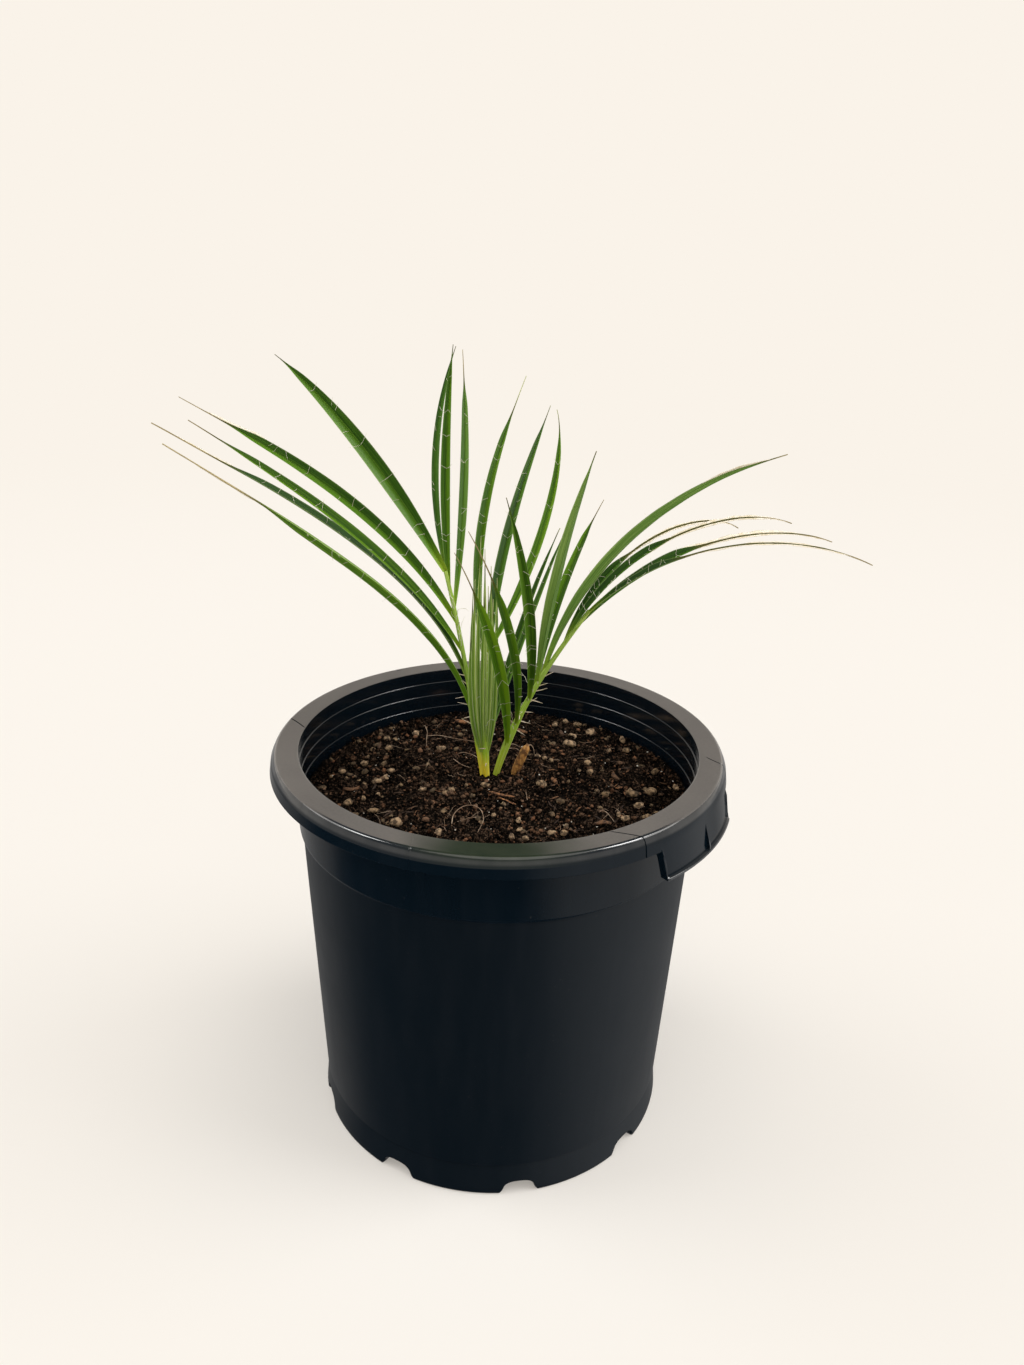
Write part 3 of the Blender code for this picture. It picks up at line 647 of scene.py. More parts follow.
# A few irregular pebble shapes, which every small lump is a turned and stretched copy of
def pebbleShapes(rng, subdivisions, count, raggedness):
    shapes = []
    for k in range(count):
        bm = bmesh.new()
        bmesh.ops.create_icosphere(bm, subdivisions=subdivisions, radius=1.0)
        bm.verts.ensure_lookup_table()
        seed = Vector((rng.uniform(0, 50), rng.uniform(0, 50), rng.uniform(0, 50)))
        points = []
        for v in bm.verts:
            swell = 1.0 + raggedness * noise.noise(v.co * 1.3 + seed) + 0.4 * raggedness * noise.noise(v.co * 3.1 + seed)
            points.append(v.co * swell)
        shapes.append((points, [[v.index for v in face.verts] for face in bm.faces]))
        bm.free()
    return shapes


def putLump(heap, rng, shape, x, y, size, stretch, sink, **marks):
    points, faces = shape
    turn = Matrix.Rotation(rng.uniform(0, 2 * math.pi), 3, "Z")
    turn = turn @ Matrix.Rotation(rng.uniform(-0.5, 0.5), 3, "X") @ Matrix.Diagonal(stretch)
    centre = Vector((x, y, soilHeight(x, y) + size * sink))
    heap.put([centre + size * (turn @ p) for p in points], faces, **marks)


def tooClose(x, y):
    return math.hypot(x, y) > soil["radius"] - 0.0035 or math.dist((x, y), plantCentre) < 0.006


def scatterCrumb(finish):
    rng = random.Random(soil["seed"])
    shapes = pebbleShapes(rng, 1, 10, 0.75)
    for name, count, sizes in (("peatCrumb", 7000, (0.00022, 0.00085)), ("peatClods", 1700, (0.0006, 0.0019))):
        heap = Heap()
        placed = 0
        while placed < count:
            point = polar(soil["radius"] * math.sqrt(rng.random()), rng.uniform(0, 360))
            size = sizes[0] + (sizes[1] - sizes[0]) * rng.random() ** 2.2
            if math.hypot(point.x, point.y) > soil["radius"] - size * 1.3:
                continue
            # Painted light: crumbs near a spot at the front of the mix are made paler, as a pool of light
            near = 1.0 - smooth(0.02, 0.07, math.dist(point.xy, (0.015, -0.020)))
            tone = min(1.0, max(0.0, rng.gauss(0.10 + 0.26 * near, 0.36)))
            mark = (tone, rng.random(), 0.0)
            stretch = (rng.uniform(0.8, 1.5), rng.uniform(0.7, 1.1), rng.uniform(0.6, 1.0))
            putLump(heap, rng, rng.choice(shapes), point.x, point.y, size, stretch, rng.uniform(0.0, 0.8), lumpTone=mark)
            placed += 1
        piece = heap.build(name, finish)
        settle(piece, "potting_mix")
    print("peat crumb scattered")


# Clay granules seen in the photograph: x, y and size in millimetres
granuleSpots = [
    (-90, 10, 4.6), (-84, 11, 3.1), (-79, -1, 4.2), (-75, -9, 2.5), (-79, 25, 4.6), (-86, -8, 3.6),
    (-78, -25, 3.9), (-82, -40, 3.9), (-79, -61, 4.3), (-56, -40, 4.6), (-55, -33, 3.6), (-58, -25, 3.7),
    (-47, -50, 2.8), (-54, -67, 4.6), (-36, -67, 4.5), (-29, -33, 3.6), (-18, -69, 6.0), (7, -66, 4.8),
    (-15, -25, 3.8), (-52, 15, 4.4), (-3, -9, 4.5), (20, -34, 3.1), (19, -44, 2.7), (-45, -7, 2.6),
    (-17, 90, 3.2), (-14, 99, 3.8), (-5, 98, 5.2), (8, 93, 5.8), (2, 80, 4.2), (7, 68, 6.6),
    (1, 40, 3.2), (5, 42, 3.2), (10, 41, 3.4), (29, 52, 3.9), (36, 42, 4.0), (38, 84, 4.8), (30, 76, 2.9),
    (29, 96, 4.4), (65, 69, 4.8), (83, 60, 3.8), (68, 34, 6.0), (75, 44, 5.2), (57, 23, 4.2), (51, 24, 3.0),
    (77, 24, 4.8), (87, 17, 5.0), (78, 7, 4.0), (73, 9, 3.0), (23, 10, 5.2), (39, -38, 3.2), (46, -43, 3.8),
    (54, -30, 3.6), (60, -28, 3.8), (57, -20, 3.0), (18, -22, 3.4), (34, -31, 3.5), (40, -47, 3.8),
]
moreGranules = dict(count=130, sizes=(1.3, 3.6), nearEdge=0.62, seed=23)


def granuleFinish():
    f = Finish("clayGranules", Specular_IOR_Level=0.30)
    tone = f.mark("lumpTone", 0)
    grime = f.grain(0.0022, 3.0, 0.6)
    clay = f.colours(tone, [(0.0, (0.085, 0.058, 0.030)), (0.45, (0.28, 0.185, 0.100)), (1.0, (0.50, 0.345, 0.210))])
    clay = f.blend(grime.ramp(0.40, 0.60) * 0.88, clay, (0.030, 0.019, 0.011))
    clay = f.blend(f.grain(0.0006, 1.0).ramp(0.56, 0.70) * 0.5, clay, (0.10, 0.062, 0.032))
    f.feed("Base Color", clay)
    f.feed("Roughness", 0.80 + 0.15 * grime)
    f.bump(f.grain(0.0008, 3.0, 0.7), 0.00022, 0.9)
    return f


def placeGranules(finish):
    rng = random.Random(moreGranules["seed"])
    shapes = pebbleShapes(rng, 2, 12, 0.58)
    heap = Heap()
    for x, y, size in granuleSpots:
        tone = rng.uniform(0.45, 1.0)
        stretch = (rng.uniform(1.0, 1.35), rng.uniform(0.8, 1.0), rng.uniform(0.7, 0.9))
        putLump(heap, rng, rng.choice(shapes), x / 1000, y / 1000, size / 2000, stretch, 0.42, lumpTone=(tone, 0.0, 0.0))
    placed = 0
    while placed < moreGranules["count"]:
        radius = soil["radius"] * rng.random() ** moreGranules["nearEdge"] ** 2
        point = polar(radius, rng.uniform(0, 360))
        size = rng.uniform(*moreGranules["sizes"]) / 2000
        if tooClose(point.x, point.y):
            continue
        tone = rng.uniform(0.0, 0.50)
        stretch = (rng.uniform(1.0, 1.5), rng.uniform(0.8, 1.0), rng.uniform(0.6, 0.9))
        putLump(heap, rng, rng.choice(shapes), point.x, point.y, size, stretch, rng.uniform(-0.35, 0.45),
                lumpTone=(tone, 0.0, 0.0))
        placed += 1
    settle(heap.build("clayGranules", finish), "potting_mix")
    print("granules placed:", len(granuleSpots) + moreGranules["count"])


perlite = dict(count=70, sizes=(0.4, 1.1), seed=5)


def perliteFinish():
    f = Finish("perlite", Roughness=0.75)
    f.feed("Base Color", f.blend(f.grain(0.0009, 2.0).ramp(0.45, 0.70), (0.72, 0.69, 0.62), (0.34, 0.28, 0.21)))
    f.bump(f.grain(0.0004, 2.0), 0.0001, 0.8)
    return f


def sprinklePerlite(finish):
    rng = random.Random(perlite["seed"])
    shapes = pebbleShapes(rng, 1, 6, 0.6)
    heap = Heap()
    while len(heap.points) < perlite["count"] * 12:
        point = polar(soil["radius"] * math.sqrt(rng.random()), rng.uniform(0, 360))
        if tooClose(point.x, point.y):
            continue
        size = rng.uniform(*perlite["sizes"]) / 2000
        putLump(heap, rng, rng.choice(shapes), point.x, point.y, size, (1.2, 1.0, 0.8), 1.0)
    settle(heap.build("perliteSpecks", finish), "potting_mix")


# Bark and fibre: flat slivers that lie on the mix. Placed ones are x, y, heading, length and width
# in millimetres and degrees.
barkSpots = [
    (-63, -54, 30, 9.0, 3.4, 0.6), (-66, 56, 20, 9.0, 4.4, 0.9), (-27, 66, -10, 9.5, 3.4, 0.8), (26, 18, -30, 7.0, 3.0, 0.7),
    (50, 46, -40, 7.5, 3.2, 0.5), (59, 35, 40, 4.0, 1.5, 0.9), (72, -7, 50, 10.0, 3.6, 0.6), (12, -15, 19, 15.0, 2.0, 0.95),
    (17, -17, 8, 11.0, 1.2, 1.0), (-6, 80, -40, 7.0, 2.6, 0.3), (-86, -2, -60, 7.0, 2.4, 0.3),
]
moreBark = dict(count=260, lengths=(2.0, 7.0), widths=(0.35, 1.2), seed=31)


def barkFinish():
    f = Finish("barkFibre", Specular_IOR_Level=0.30)
    tone = f.mark("lumpTone", 0)
    stripe = f.grain(0.0012, 2.0, 0.6, (1.0, 0.35, 1.0))
    wood = f.colours(tone, [(0.0, (0.022, 0.012, 0.007)), (0.5, (0.12, 0.060, 0.028)), (1.0, (0.34, 0.150, 0.060))])
    f.feed("Base Color", f.blend(stripe.ramp(0.35, 0.70), wood, (0.030, 0.014, 0.008)))
    f.feed("Roughness", 0.70 + 0.20 * stripe)
    f.bump(stripe, 0.0002, 0.8)
    return f


def putSliver(heap, rng, x, y, heading, length, width, tone):
    forward = polar(1.0, heading)
    side = polar(1.0, heading + 90.0)
    arch = rng.uniform(0.02, 0.12) * length
    rings = []
    steps = 6
    for i in range(steps + 1):
        t = i / steps - 0.5
        centre = Vector((x, y, 0.0)) + forward * (t * length) + side * (arch * (4 * t * t))
        centre.z = soilHeight(centre.x, centre.y) + width * 0.35 + rng.uniform(0.0, 0.0002) + arch * (1 - 4 * t * t) * 0.5
        half = max(0.00012, width / 2 * (1.0 - abs(2 * t) ** 2.5) ** 0.5 if abs(t) < 0.5 else 0.00012)
        thick = max(0.00012, width * 0.18)
        rings.append([centre + side * (half * math.cos(a)) + Vector((0, 0, thick * math.sin(a)))
                      for a in (2 * math.pi * k / 8 for k in range(8))])
    heap.loft(rings, lumpTone=(tone, 0.0, 0.0))


def layBark(finish):
    rng = random.Random(moreBark["seed"])
    heap = Heap()
    for x, y, heading, length, width, tone in barkSpots:
        putSliver(heap, rng, x / 1000, y / 1000, heading, length / 1000, width / 1000, tone)
    for k in range(moreBark["count"]):
        point = polar((soil["radius"] - 0.006) * math.sqrt(rng.random()), rng.uniform(0, 360))
        length = rng.uniform(*moreBark["lengths"]) / 1000
        width = rng.uniform(*moreBark["widths"]) / 1000
        putSliver(heap, rng, point.x, point.y, rng.uniform(0, 360), length, width, rng.random() ** 2 * 0.8)
    settle(heap.build("barkFibre", finish), "potting_mix")


# Dead roots on the mix: x, y and height over it in millimetres
rootPaths = dict(
    upright=[(-82, 37, 2), (-76, 31, 4), (-70, 25, 4), (-65, 18, 3), (-60, 11, 0)],
    crossing=[(-67, 21, 3), (-60, 23, 5), (-52, 24, 5), (-44, 26, 5), (-36, 28, 5)],
    leftOfFoot=[(-37, 12, 2), (-33, 13, 4), (-30, 12, 5), (-25, 11, 5), (-18, 9, 4)],
    lowLeft=[(-36, 6, 1), (-28, 4, 1), (-20, 5, 0)],
    curl=[(6, -53, 0), (3, -47, 2), (3, -40, 3), (7, -36, 3.5), (13, -37, 3), (18, -41, 3), (21, -46, 2), (22, -52, 0)],
    rightEdge=[(62, 4, 1), (68, 3, 3), (75, 1, 0)],
    rightEdgeFork=[(65, 1, 2), (66, 5, 3), (67, 8, 1)],
    footRight=[(-16, 22, 6), (-12, 26, 7), (-9, 32, 6), (-6, 36, 2)],
    footBack=[(-20, 36, 3), (-16, 40, 4), (-12, 42, 2)],
    sheathHook=[(6.4, 18.9, 16), (8.3, 20.2, 17.3), (9.8, 21.1, 15), (10.2, 21.4, 11.5)],
)
moreRoots = dict(count=46, lengths=(5.0, 16.0), seed=3)


def rootFinish():
    f = Finish("dryRoot", Roughness=0.62)
    tint = f.grain(0.006, 2.0)
    f.feed("Base Color", f.blend(tint.ramp(0.35, 0.65), (0.46, 0.34, 0.24), (0.20, 0.115, 0.065)))
    f.bump(f.grain(0.0006, 2.0), 0.00008, 0.8)
    return f


def layRoots(finish):
    rng = random.Random(moreRoots["seed"])
    heap = Heap()
    for spots in rootPaths.values():
        points = [Vector((x / 1000, y / 1000, soilHeight(x / 1000, y / 1000) + h / 1000)) for x, y, h in spots]
        heap.thread(curved(points, 5), 0.00024, 0.00013, 6)
    for k in range(moreRoots["count"]):
        point = polar((soil["radius"] - 0.018) * math.sqrt(rng.random()), rng.uniform(0, 360))
        heading = rng.uniform(0, 360)
        length = rng.uniform(*moreRoots["lengths"]) / 1000
        path = []
        for i in range(7):
            path.append(Vector((point.x, point.y, soilHeight(point.x, point.y) + rng.uniform(0.0002, 0.0012))))
            point = point + polar(length / 6, heading)
            heading += rng.uniform(-28, 28)
        heap.thread(path, rng.uniform(0.00008, 0.00017), 0.00006, 5)
    settle(heap.build("rootThreads", finish), "potting_mix")


pottingMix = soilFinish()
soilBody = makeSoilBody(pottingMix)
settle(soilBody, "potting_mix", "soil")
scatterCrumb(pottingMix)
placeGranules(granuleFinish())
sprinklePerlite(perliteFinish())
layBark(barkFinish())
layRoots(rootFinish())
print("potting mix:", len(soilBody.data.polygons), "faces")

# Plant. A stalk or leaflet bends in one leaning plane: its heading and lean set the plane, and its
# elevation goes from launch to tip. The rest is for the looks: where it starts to dry at its tip.
soilLine = 0.2030
stalks = dict(
    frondLeft=dict(
        root=(-0.0125, 0.0022), heading=203, lean=0, launch=82, tip=75, ease=0.6,
        length=0.122, radius=0.00125, tipRadius=0.0009,
    ),
    spear=dict(
        root=(-0.0097, 0.0028), heading=213, lean=0, launch=84, tip=91, ease=3.0,
        length=0.075, radius=0.00125, tipRadius=0.0008,
    ),
    frondRight=dict(
        root=(-0.0063, 0.0069), heading=23, lean=0, launch=76, tip=57, ease=1.4,
        length=0.115, radius=0.00150, tipRadius=0.0009,
    ),
)
# Leaflets also say from which share on only their midrib is left, how light their green is, and which
# half is painted lighter, as painted light on one side of the fold
leafletFields = ("along", "heading", "lean", "launch", "tip", "ease", "length", "width", "roll", "rib", "tone", "light")
leaflets = dict(
    frondLeft=[
        (1.00, 190, 0, 56, 29, 0.6, 0.148, 0.0088, 60, 0.97, 0.25, -1),
        (0.75, 200, 0, 59, 24, 2.0, 0.196, 0.0068, 50, 0.84, 0.30, -1),
        (0.60, 220, 0, 60, 34, 2.0, 0.189, 0.0060, 42, 0.90, 0.45, -1),
        (0.42, 208, 0, 75, 27, 2.75, 0.227, 0.0058, 15, 0.80, 0.05, -1),
        (0.26, 233, 0, 82, 35, 3.0, 0.232, 0.0060, 142, 0.76, 0.95, 1),
        (1.00, 213, -32, 75, 106, 1.0, 0.131, 0.0042, 70, 0.97, 0.10, 1),
        (0.92, 213, -10, 85, 95, 1.0, 0.126, 0.0052, 95, 0.97, 0.35, 1),
        (0.82, 213, -38, 94, 85, 1.0, 0.160, 0.0050, 85, 0.86, 0.40, 1),
    ],
    spear=[
        (0.88, 33, 30, 104, 71, 1.5, 0.174, 0.0056, -75, 0.86, 0.45, 1),
        (0.76, 33, 36, 90, 72, 1.5, 0.175, 0.0062, -80, 0.95, 0.20, 1),
        (1.00, 33, 24, 61, 113, 0.4, 0.143, 0.0052, -70, 0.92, 0.65, 1),
        (0.24, 33, 25, 76, 66, 0.5, 0.132, 0.0040, -60, 0.95, 0.25, 1),
        (0.22, 33, 34, 74, 69, 0.8, 0.141, 0.0038, -75, 0.95, 0.30, 1),
    ],
    frondRight=[
        (0.17, 213, 22, 90, 67, 1.0, 0.140, 0.0062, 75, 0.80, 0.85, 1),
        (0.30, 213, 32, 93, 69, 1.0, 0.159, 0.0048, 80, 0.76, 0.45, 1),
        (0.45, 213, 36, 91, 79, 1.0, 0.169, 0.0058, 70, 0.96, 0.35, -1),
        (0.55, 33, -30, 88, 79, 1.0, 0.167, 0.0058, 78, 0.97, 0.40, 1),
        (0.53, 33, 22, 81, 62, 1.0, 0.111, 0.0052, -80, 0.88, 0.40, -1),
        (0.60, 8, 0, 75, 22, 1.0, 0.185, 0.0062, 48, 0.94, 0.50, -1),
        (0.80, 51, 0, 70, -36, 0.6, 0.128, 0.0046, -40, 0.46, 0.10, 1),
        (0.80, 25, 0, 66, -22, 0.6, 0.144, 0.0050, -40, 0.56, 0.10, 1),
        (0.88, 41, 0, 50, -20, 0.8, 0.156, 0.0054, -35, 0.52, 0.10, 1),
        (0.95, 15, 0, 50, -22, 0.8, 0.159, 0.0046, -30, 0.40, 0.05, 1),
    ],
)
# The unopened leaf: narrow pleats that stand side by side, spread left to right over the sheath's top
pleats = dict(
    lengths=(0.078, 0.098, 0.112, 0.127, 0.104, 0.121, 0.096, 0.114, 0.090, 0.100, 0.074),
    leans=(8, 3, 12, 2, 9, -3, 6, -6, 3, 9, -8),
    foot=0.20, footSpread=0.0021, footShift=-0.0008, spreadLeft=21.0, spreadRight=13.0, tip=91, ease=3.0, width=0.0024,
    roll=84, leftHeading=213, rightHeading=33,
)
blade = dict(
    stations=46, thickness=0.00048, edgeThickness=0.00024, fold=0.42, rootShare=0.34, widestAt=0.42, taper=2.1,
    ribWidth=0.0012,
)
sheathSwell = dict(foot=1.22, top=1.34, topAt=0.20, end=0.52)


def bend(start, shape, stations):
    heading, lean = math.radians(shape["heading"]), math.radians(shape["lean"])
    forward = Vector((math.cos(heading), math.sin(heading), 0.0))
    side = Vector((-math.sin(heading), math.cos(heading), 0.0))
    upward = side * math.sin(lean) + Vector((0.0, 0.0, math.cos(lean)))
    points, tangents = [Vector(start)], []
    for i in range(4 * stations):
        share = (i + 0.5) / (4 * stations)
        elevation = math.radians(shape["tip"] + (shape["launch"] - shape["tip"]) * (1.0 - share) ** shape["ease"])
        direction = forward * math.cos(elevation) + upward * math.sin(elevation)
        if i % 4 == 0:
            tangents.append(direction)
        points.append(points[-1] + direction * (shape["length"] / (4 * stations)))
    tangents.append(direction)
    return points[::4], tangents, forward.cross(upward).normalized()


def stalkPoint(name, share):
    stalk = stalks[name]
    points, tangents, across = bend((*stalk["root"], soilLine), stalk, 40)
    return points[round(share * 40)]


def bladeHalf(share, shape):
    full = fullHalf(share, shape["width"])
    rib = 0.5 * blade["ribWidth"] * (1.0 - 0.72 * share ** 3)
    return max(rib, full + (rib - full) * smooth(shape["rib"] - 0.10, shape["rib"] + 0.03, share))


def fullHalf(share, width):
    swell = blade["rootShare"] + (1.0 - blade["rootShare"]) * math.sin(min(1.0, share / blade["widestAt"]) * math.pi / 2)
    beyond = max(0.0, share - blade["widestAt"]) / (1.0 - blade["widestAt"])
    return 0.5 * width * swell * (1.0 - beyond ** blade["taper"])


# The frame of a leaflet at each station: middle, along, across and the way its upper side faces
def bladeFrames(name, shape):
    start = stalkPoint(name, shape["along"]) + Vector(shape.get("shift", (0.0, 0.0, 0.0)))
    points, tangents, normal = bend(start, shape, blade["stations"])
    roll = math.radians(shape["roll"])
    frames = []
    for i, (point, tangent) in enumerate(zip(points, tangents)):
        face = normal.cross(tangent).normalized()
        across = normal * math.cos(roll) + face * math.sin(roll)
        face = face * math.cos(roll) - normal * math.sin(roll)
        frames.append((i / blade["stations"], point, tangent, across, face))
    return frames


def bladePoint(frame, shape, u, lift=0.0):
    share, point, tangent, across, face = frame
    half = bladeHalf(share, shape)
    rise = 2.0 * half * shape.get("fold", blade["fold"])
    return point + across * (half * u) + face * (rise * abs(u) ** 1.15 + lift)


upperSpots = (-1.0, -0.93, -0.70, -0.46, -0.22, -0.07, 0.0, 0.07, 0.22, 0.46, 0.70, 0.93, 1.0)
lowerSpots = (0.93, 0.60, 0.30, 0.10, 0.0, -0.10, -0.30, -0.60, -0.93)


def putBlade(heap, name, shape, wobbleSeed):
    rings, spots = [], []
    for frame in bladeFrames(name, shape):
        share, point = frame[0], frame[1]
        thick = blade["thickness"] * (1.0 - 0.55 * share)
        thin = blade["edgeThickness"] * (1.0 - 0.4 * share)
        wobble = noise.noise(Vector((share * 5.0, wobbleSeed, 0.0))) * 0.0005 * share
        ripple = noise.noise(Vector((share * 16.0, wobbleSeed, 9.0))) * 0.00022
        ring = []
        for k, u in enumerate(upperSpots):
            groove = -0.00012 if u == 0.0 else (0.00005 if k % 2 else 0.0)
            lift = (thick + (thin - thick) * abs(u)) / 2 + groove + ripple * abs(u) + wobble
            ring.append(bladePoint(frame, shape, u, lift))
            spots.append((u, share, 1.0))
        for u in lowerSpots:
            ridge = 0.00022 * max(0.0, 1.0 - abs(u) / 0.12)
            lift = -(thick + (thin - thick) * abs(u)) / 2 - ridge + ripple * abs(u) + wobble
            ring.append(bladePoint(frame, shape, u, lift))
            spots.append((u, share, -1.0))
        rings.append(ring)
    heap.loft(rings, bladeSpot=spots, bladeTone=(shape["tone"], shape["rib"], shape["light"]))


def putStalk(heap, name):
    stalk = stalks[name]
    start = Vector((*stalk["root"], soilLine))
    points, tangents, across = bend(start, stalk, 30)
    sides = 14
    rings, spots = [], []
    for i in range(-2, 31):
        share = max(0, i) / 30
        point = points[max(0, i)] - Vector((0.0, 0.0, 0.006 * max(0, -i)))
        tangent = tangents[max(0, i)] if i > 0 else Vector((0.0, 0.0, 1.0))
        outward = across.cross(tangent).normalized()
        radius = stalk["radius"] + (stalk["tipRadius"] - stalk["radius"]) * share
        swell = 1.0 + (sheathSwell["top"] - 1.0) * smooth(0.0, sheathSwell["topAt"], share)
        swell = 1.0 + (swell - 1.0) * (1.0 - smooth(sheathSwell["topAt"], sheathSwell["end"], share))
        ring = []
        for k in range(sides):
            angle = 2.0 * math.pi * k / sides
            groove = 1.0 - 0.35 * max(0.0, math.sin(angle)) ** 6
            wide = sheathSwell["foot"] * swell
            ring.append(point + (outward * math.cos(angle) * wide + across * math.sin(angle)) * radius * groove)
            spots.append((math.cos(angle) * 0.5, share, 2.0))
        rings.append(ring)
    heap.loft(rings, bladeSpot=spots, bladeTone=(0.25 if name == "frondRight" else 0.55, 1.0, 1.0))


def pleatShapes():
    middle = (len(pleats["lengths"]) - 1) / 2
    shapes = []
    for i, length in enumerate(pleats["lengths"]):
        place = (i - middle) / middle
        left = place < 0
        shift = polar(pleats["footShift"] + pleats["footSpread"] * place, pleats["rightHeading"])
        shapes.append(dict(
            along=pleats["foot"], shift=shift, heading=pleats["leftHeading"] if left else pleats["rightHeading"],
            lean=pleats["leans"][i],
            launch=90.0 - pleats["spreadLeft" if left else "spreadRight"] * abs(place),
            tip=pleats["tip"], ease=pleats["ease"], length=length, width=pleats["width"], roll=pleats["roll"] if left else -pleats["roll"],
            # light says which half of the pleat is painted lighter, as painted light
            rib=0.88, tone=1.45 + 0.45 * (i % 2), light=1.0 if i % 3 else -1.0, fold=0.36, young=True,
        ))
    return shapes


def allShapes(name):
    shapes = [dict(zip(leafletFields, row)) for row in leaflets[name]]
    return shapes + (pleatShapes() if name == "spear" else [])


def leafFinish(name, young):
    f = Finish(name, Specular_IOR_Level=0.24)
    across, along, side = (f.mark("bladeSpot", k) for k in range(3))
    tone, rib, light = (f.mark("bladeTone", k) for k in range(3))
    stalk = side.ramp(1.2, 1.8)
    offset = abs(across)
    # Fine veins run lengthwise, a few to each half
    lengthwise = f.add("ShaderNodeCombineXYZ", {}, {0: across * 5.0, 1: along * 1.6, 2: tone * 40.0})
    veins = f.add("ShaderNodeTexNoise", {}, {"Vector": lengthwise, "Scale": 2.2, "Detail": 3.0, "Roughness": 0.6})
    mottle = f.grain(0.012, 3.0, 0.5, (1.0, 1.0, 0.3))
    shadedHalfGreen = f.blend(tone, (0.006, 0.034, 0.002), (0.045, 0.140, 0.005))
    litHalfAndVeinGreen = f.blend(tone, (0.042, 0.150, 0.005), (0.260, 0.490, 0.016))
    # Painted light and shade: the half that light picks is painted in the lit green and the other in the shaded green,
    # on the underside too, as if one side of the fold were lit
    half = (across * light).ramp(0.04, 0.20)
    green = f.blend(half * 0.62 + 0.14 * mottle, shadedHalfGreen, litHalfAndVeinGreen)
    green = f.blend(veins.ramp(0.46, 0.60) * 0.42, green, litHalfAndVeinGreen)
    green = f.blend((1.0 - offset.ramp(0.02, 0.09)) * 0.40, green, (0.230, 0.420, 0.050))
    under = f.blend(half * 0.35 + veins.ramp(0.42, 0.62) * 0.65, (0.066, 0.160, 0.016), (0.235, 0.370, 0.085))
    green = f.blend(1.0 - side.ramp(-0.6, 0.0), green, under)
    green = f.blend(offset.ramp(0.84, 0.97) * 0.25, green, (0.560, 0.660, 0.300))
    if young:
        # The pleats of the unopened leaf carry a tone over one: pale, with paler margins, and one half of each pleat is
        # painted lighter as painted light
        fresh = f.blend(tone - 1.0, (0.340, 0.560, 0.060), (0.640, 0.780, 0.240))
        fresh = f.blend(half * 0.55 + veins.ramp(0.46, 0.60) * 0.45, (0.110, 0.250, 0.016), fresh)
        fresh = f.blend(offset.ramp(0.70, 0.95) * 0.85, fresh, (0.660, 0.740, 0.400))
        green = f.blend(tone.ramp(0.98, 1.02), green, fresh)
    # Yellow at the foot of the leaf, where it is young
    foot = f.blend(along.ramp(0.0, 0.16), (0.400, 0.560, 0.020), (0.160, 0.400, 0.010))
    green = f.blend((1.0 - along.ramp(0.00, 0.18)) * 0.50, green, foot)
    yellow = f.blend(tone.ramp(0.30, 0.50), (0.440, 0.560, 0.020), (0.900, 0.740, 0.035))
    stem = f.blend(along.ramp(0.02, 0.22), yellow, (0.340, 0.560, 0.030))
    stem = f.blend(along.ramp(0.25, 0.60), stem, (0.300, 0.480, 0.060))
    stem = f.blend(veins.ramp(0.45, 0.60) * 0.50, stem, (0.620, 0.740, 0.240))
    green = f.blend(stalk, green, stem)
    # Past its green part a leaflet is a midrib: olive where it is long, else straw at once
    wither = (along - rib + 0.04 * mottle).ramp(-0.03, 0.05) * (1.0 - stalk)
    late = (along - 1.0).ramp(-0.17, -0.03)
    soon = (along - rib).ramp(0.00, 0.09)
    short = rib.ramp(0.60, 0.70)
    dried = (0.560, 0.600, 0.300) if young else (0.420, 0.350, 0.180)
    straw = f.blend(late + (soon - late) * short, (0.100, 0.100, 0.014), dried)
    green = f.blend(wither, green, f.blend(mottle.ramp(0.50, 0.70) * 0.3, straw, (0.130, 0.100, 0.040)))
    f.feed("Base Color", green)
    f.feed("Roughness", 0.40 + 0.16 * veins + 0.30 * wither)
    f.bump(veins, 0.00014, 0.8)
    return f


leafGreen = leafFinish("leafGreen", False)
youngGreen = leafFinish("youngGreen", True)
for name, node, slot, finish in (
    ("frondLeft", "frond_left", "leaf_green", leafGreen),
    ("frondRight", "frond_right", "leaf_green", leafGreen),
    ("spear", "spear", "young_green", youngGreen),
):
    heap = Heap()
    putStalk(heap, name)
    for i, shape in enumerate(allShapes(name)):
        putBlade(heap, name, shape, i * 3.7)
    leaf = heap.build(name + "Leaf", finish, 50)
    settle(leaf, slot, node)
    print(name + ":", len(leaf.data.polygons), "faces")

# Spines of the leaf stalks: share along the stalk, heading and rise
spines = dict(
    length=0.0088, radius=0.00044,
    frondLeft=[
        (0.24, 205, 22), (0.31, 213, -12), (0.36, 205, 14), (0.41, 222, -4), (0.46, 200, 34), (0.50, 215, 10),
        (0.28, 120, 10), (0.39, 100, 4),
    ],
    frondRight=[
        (0.27, 30, -30), (0.33, 38, -22), (0.38, 20, 4), (0.42, 33, 24), (0.46, 28, -8), (0.49, 20, 12),
        (0.52, 33, 26), (0.57, 40, 38), (0.26, 130, 8), (0.36, 300, 4),
    ],
    spear=[(0.10, 300, 12), (0.22, 285, 24)],
)
# Loose pale fibres that curl up between the leaf bases: stalk, how many, and the shares they start from
curls = dict(
    seed=29, steps=9, step=0.0016, radius=0.00017,
    starts=[("frondRight", 11, 0.22, 0.62), ("frondLeft", 6, 0.60, 1.0), ("spear", 6, 0.30, 1.0)],
)


def spineFinish():
    f = Finish("spineHorn", Roughness=0.45)
    f.feed("Base Color", f.blend(f.grain(0.003, 2.0).ramp(0.35, 0.65), (0.78, 0.66, 0.56), (0.58, 0.48, 0.30)))
    f.bump(f.grain(0.0008), 0.00005, 0.5)
    return f


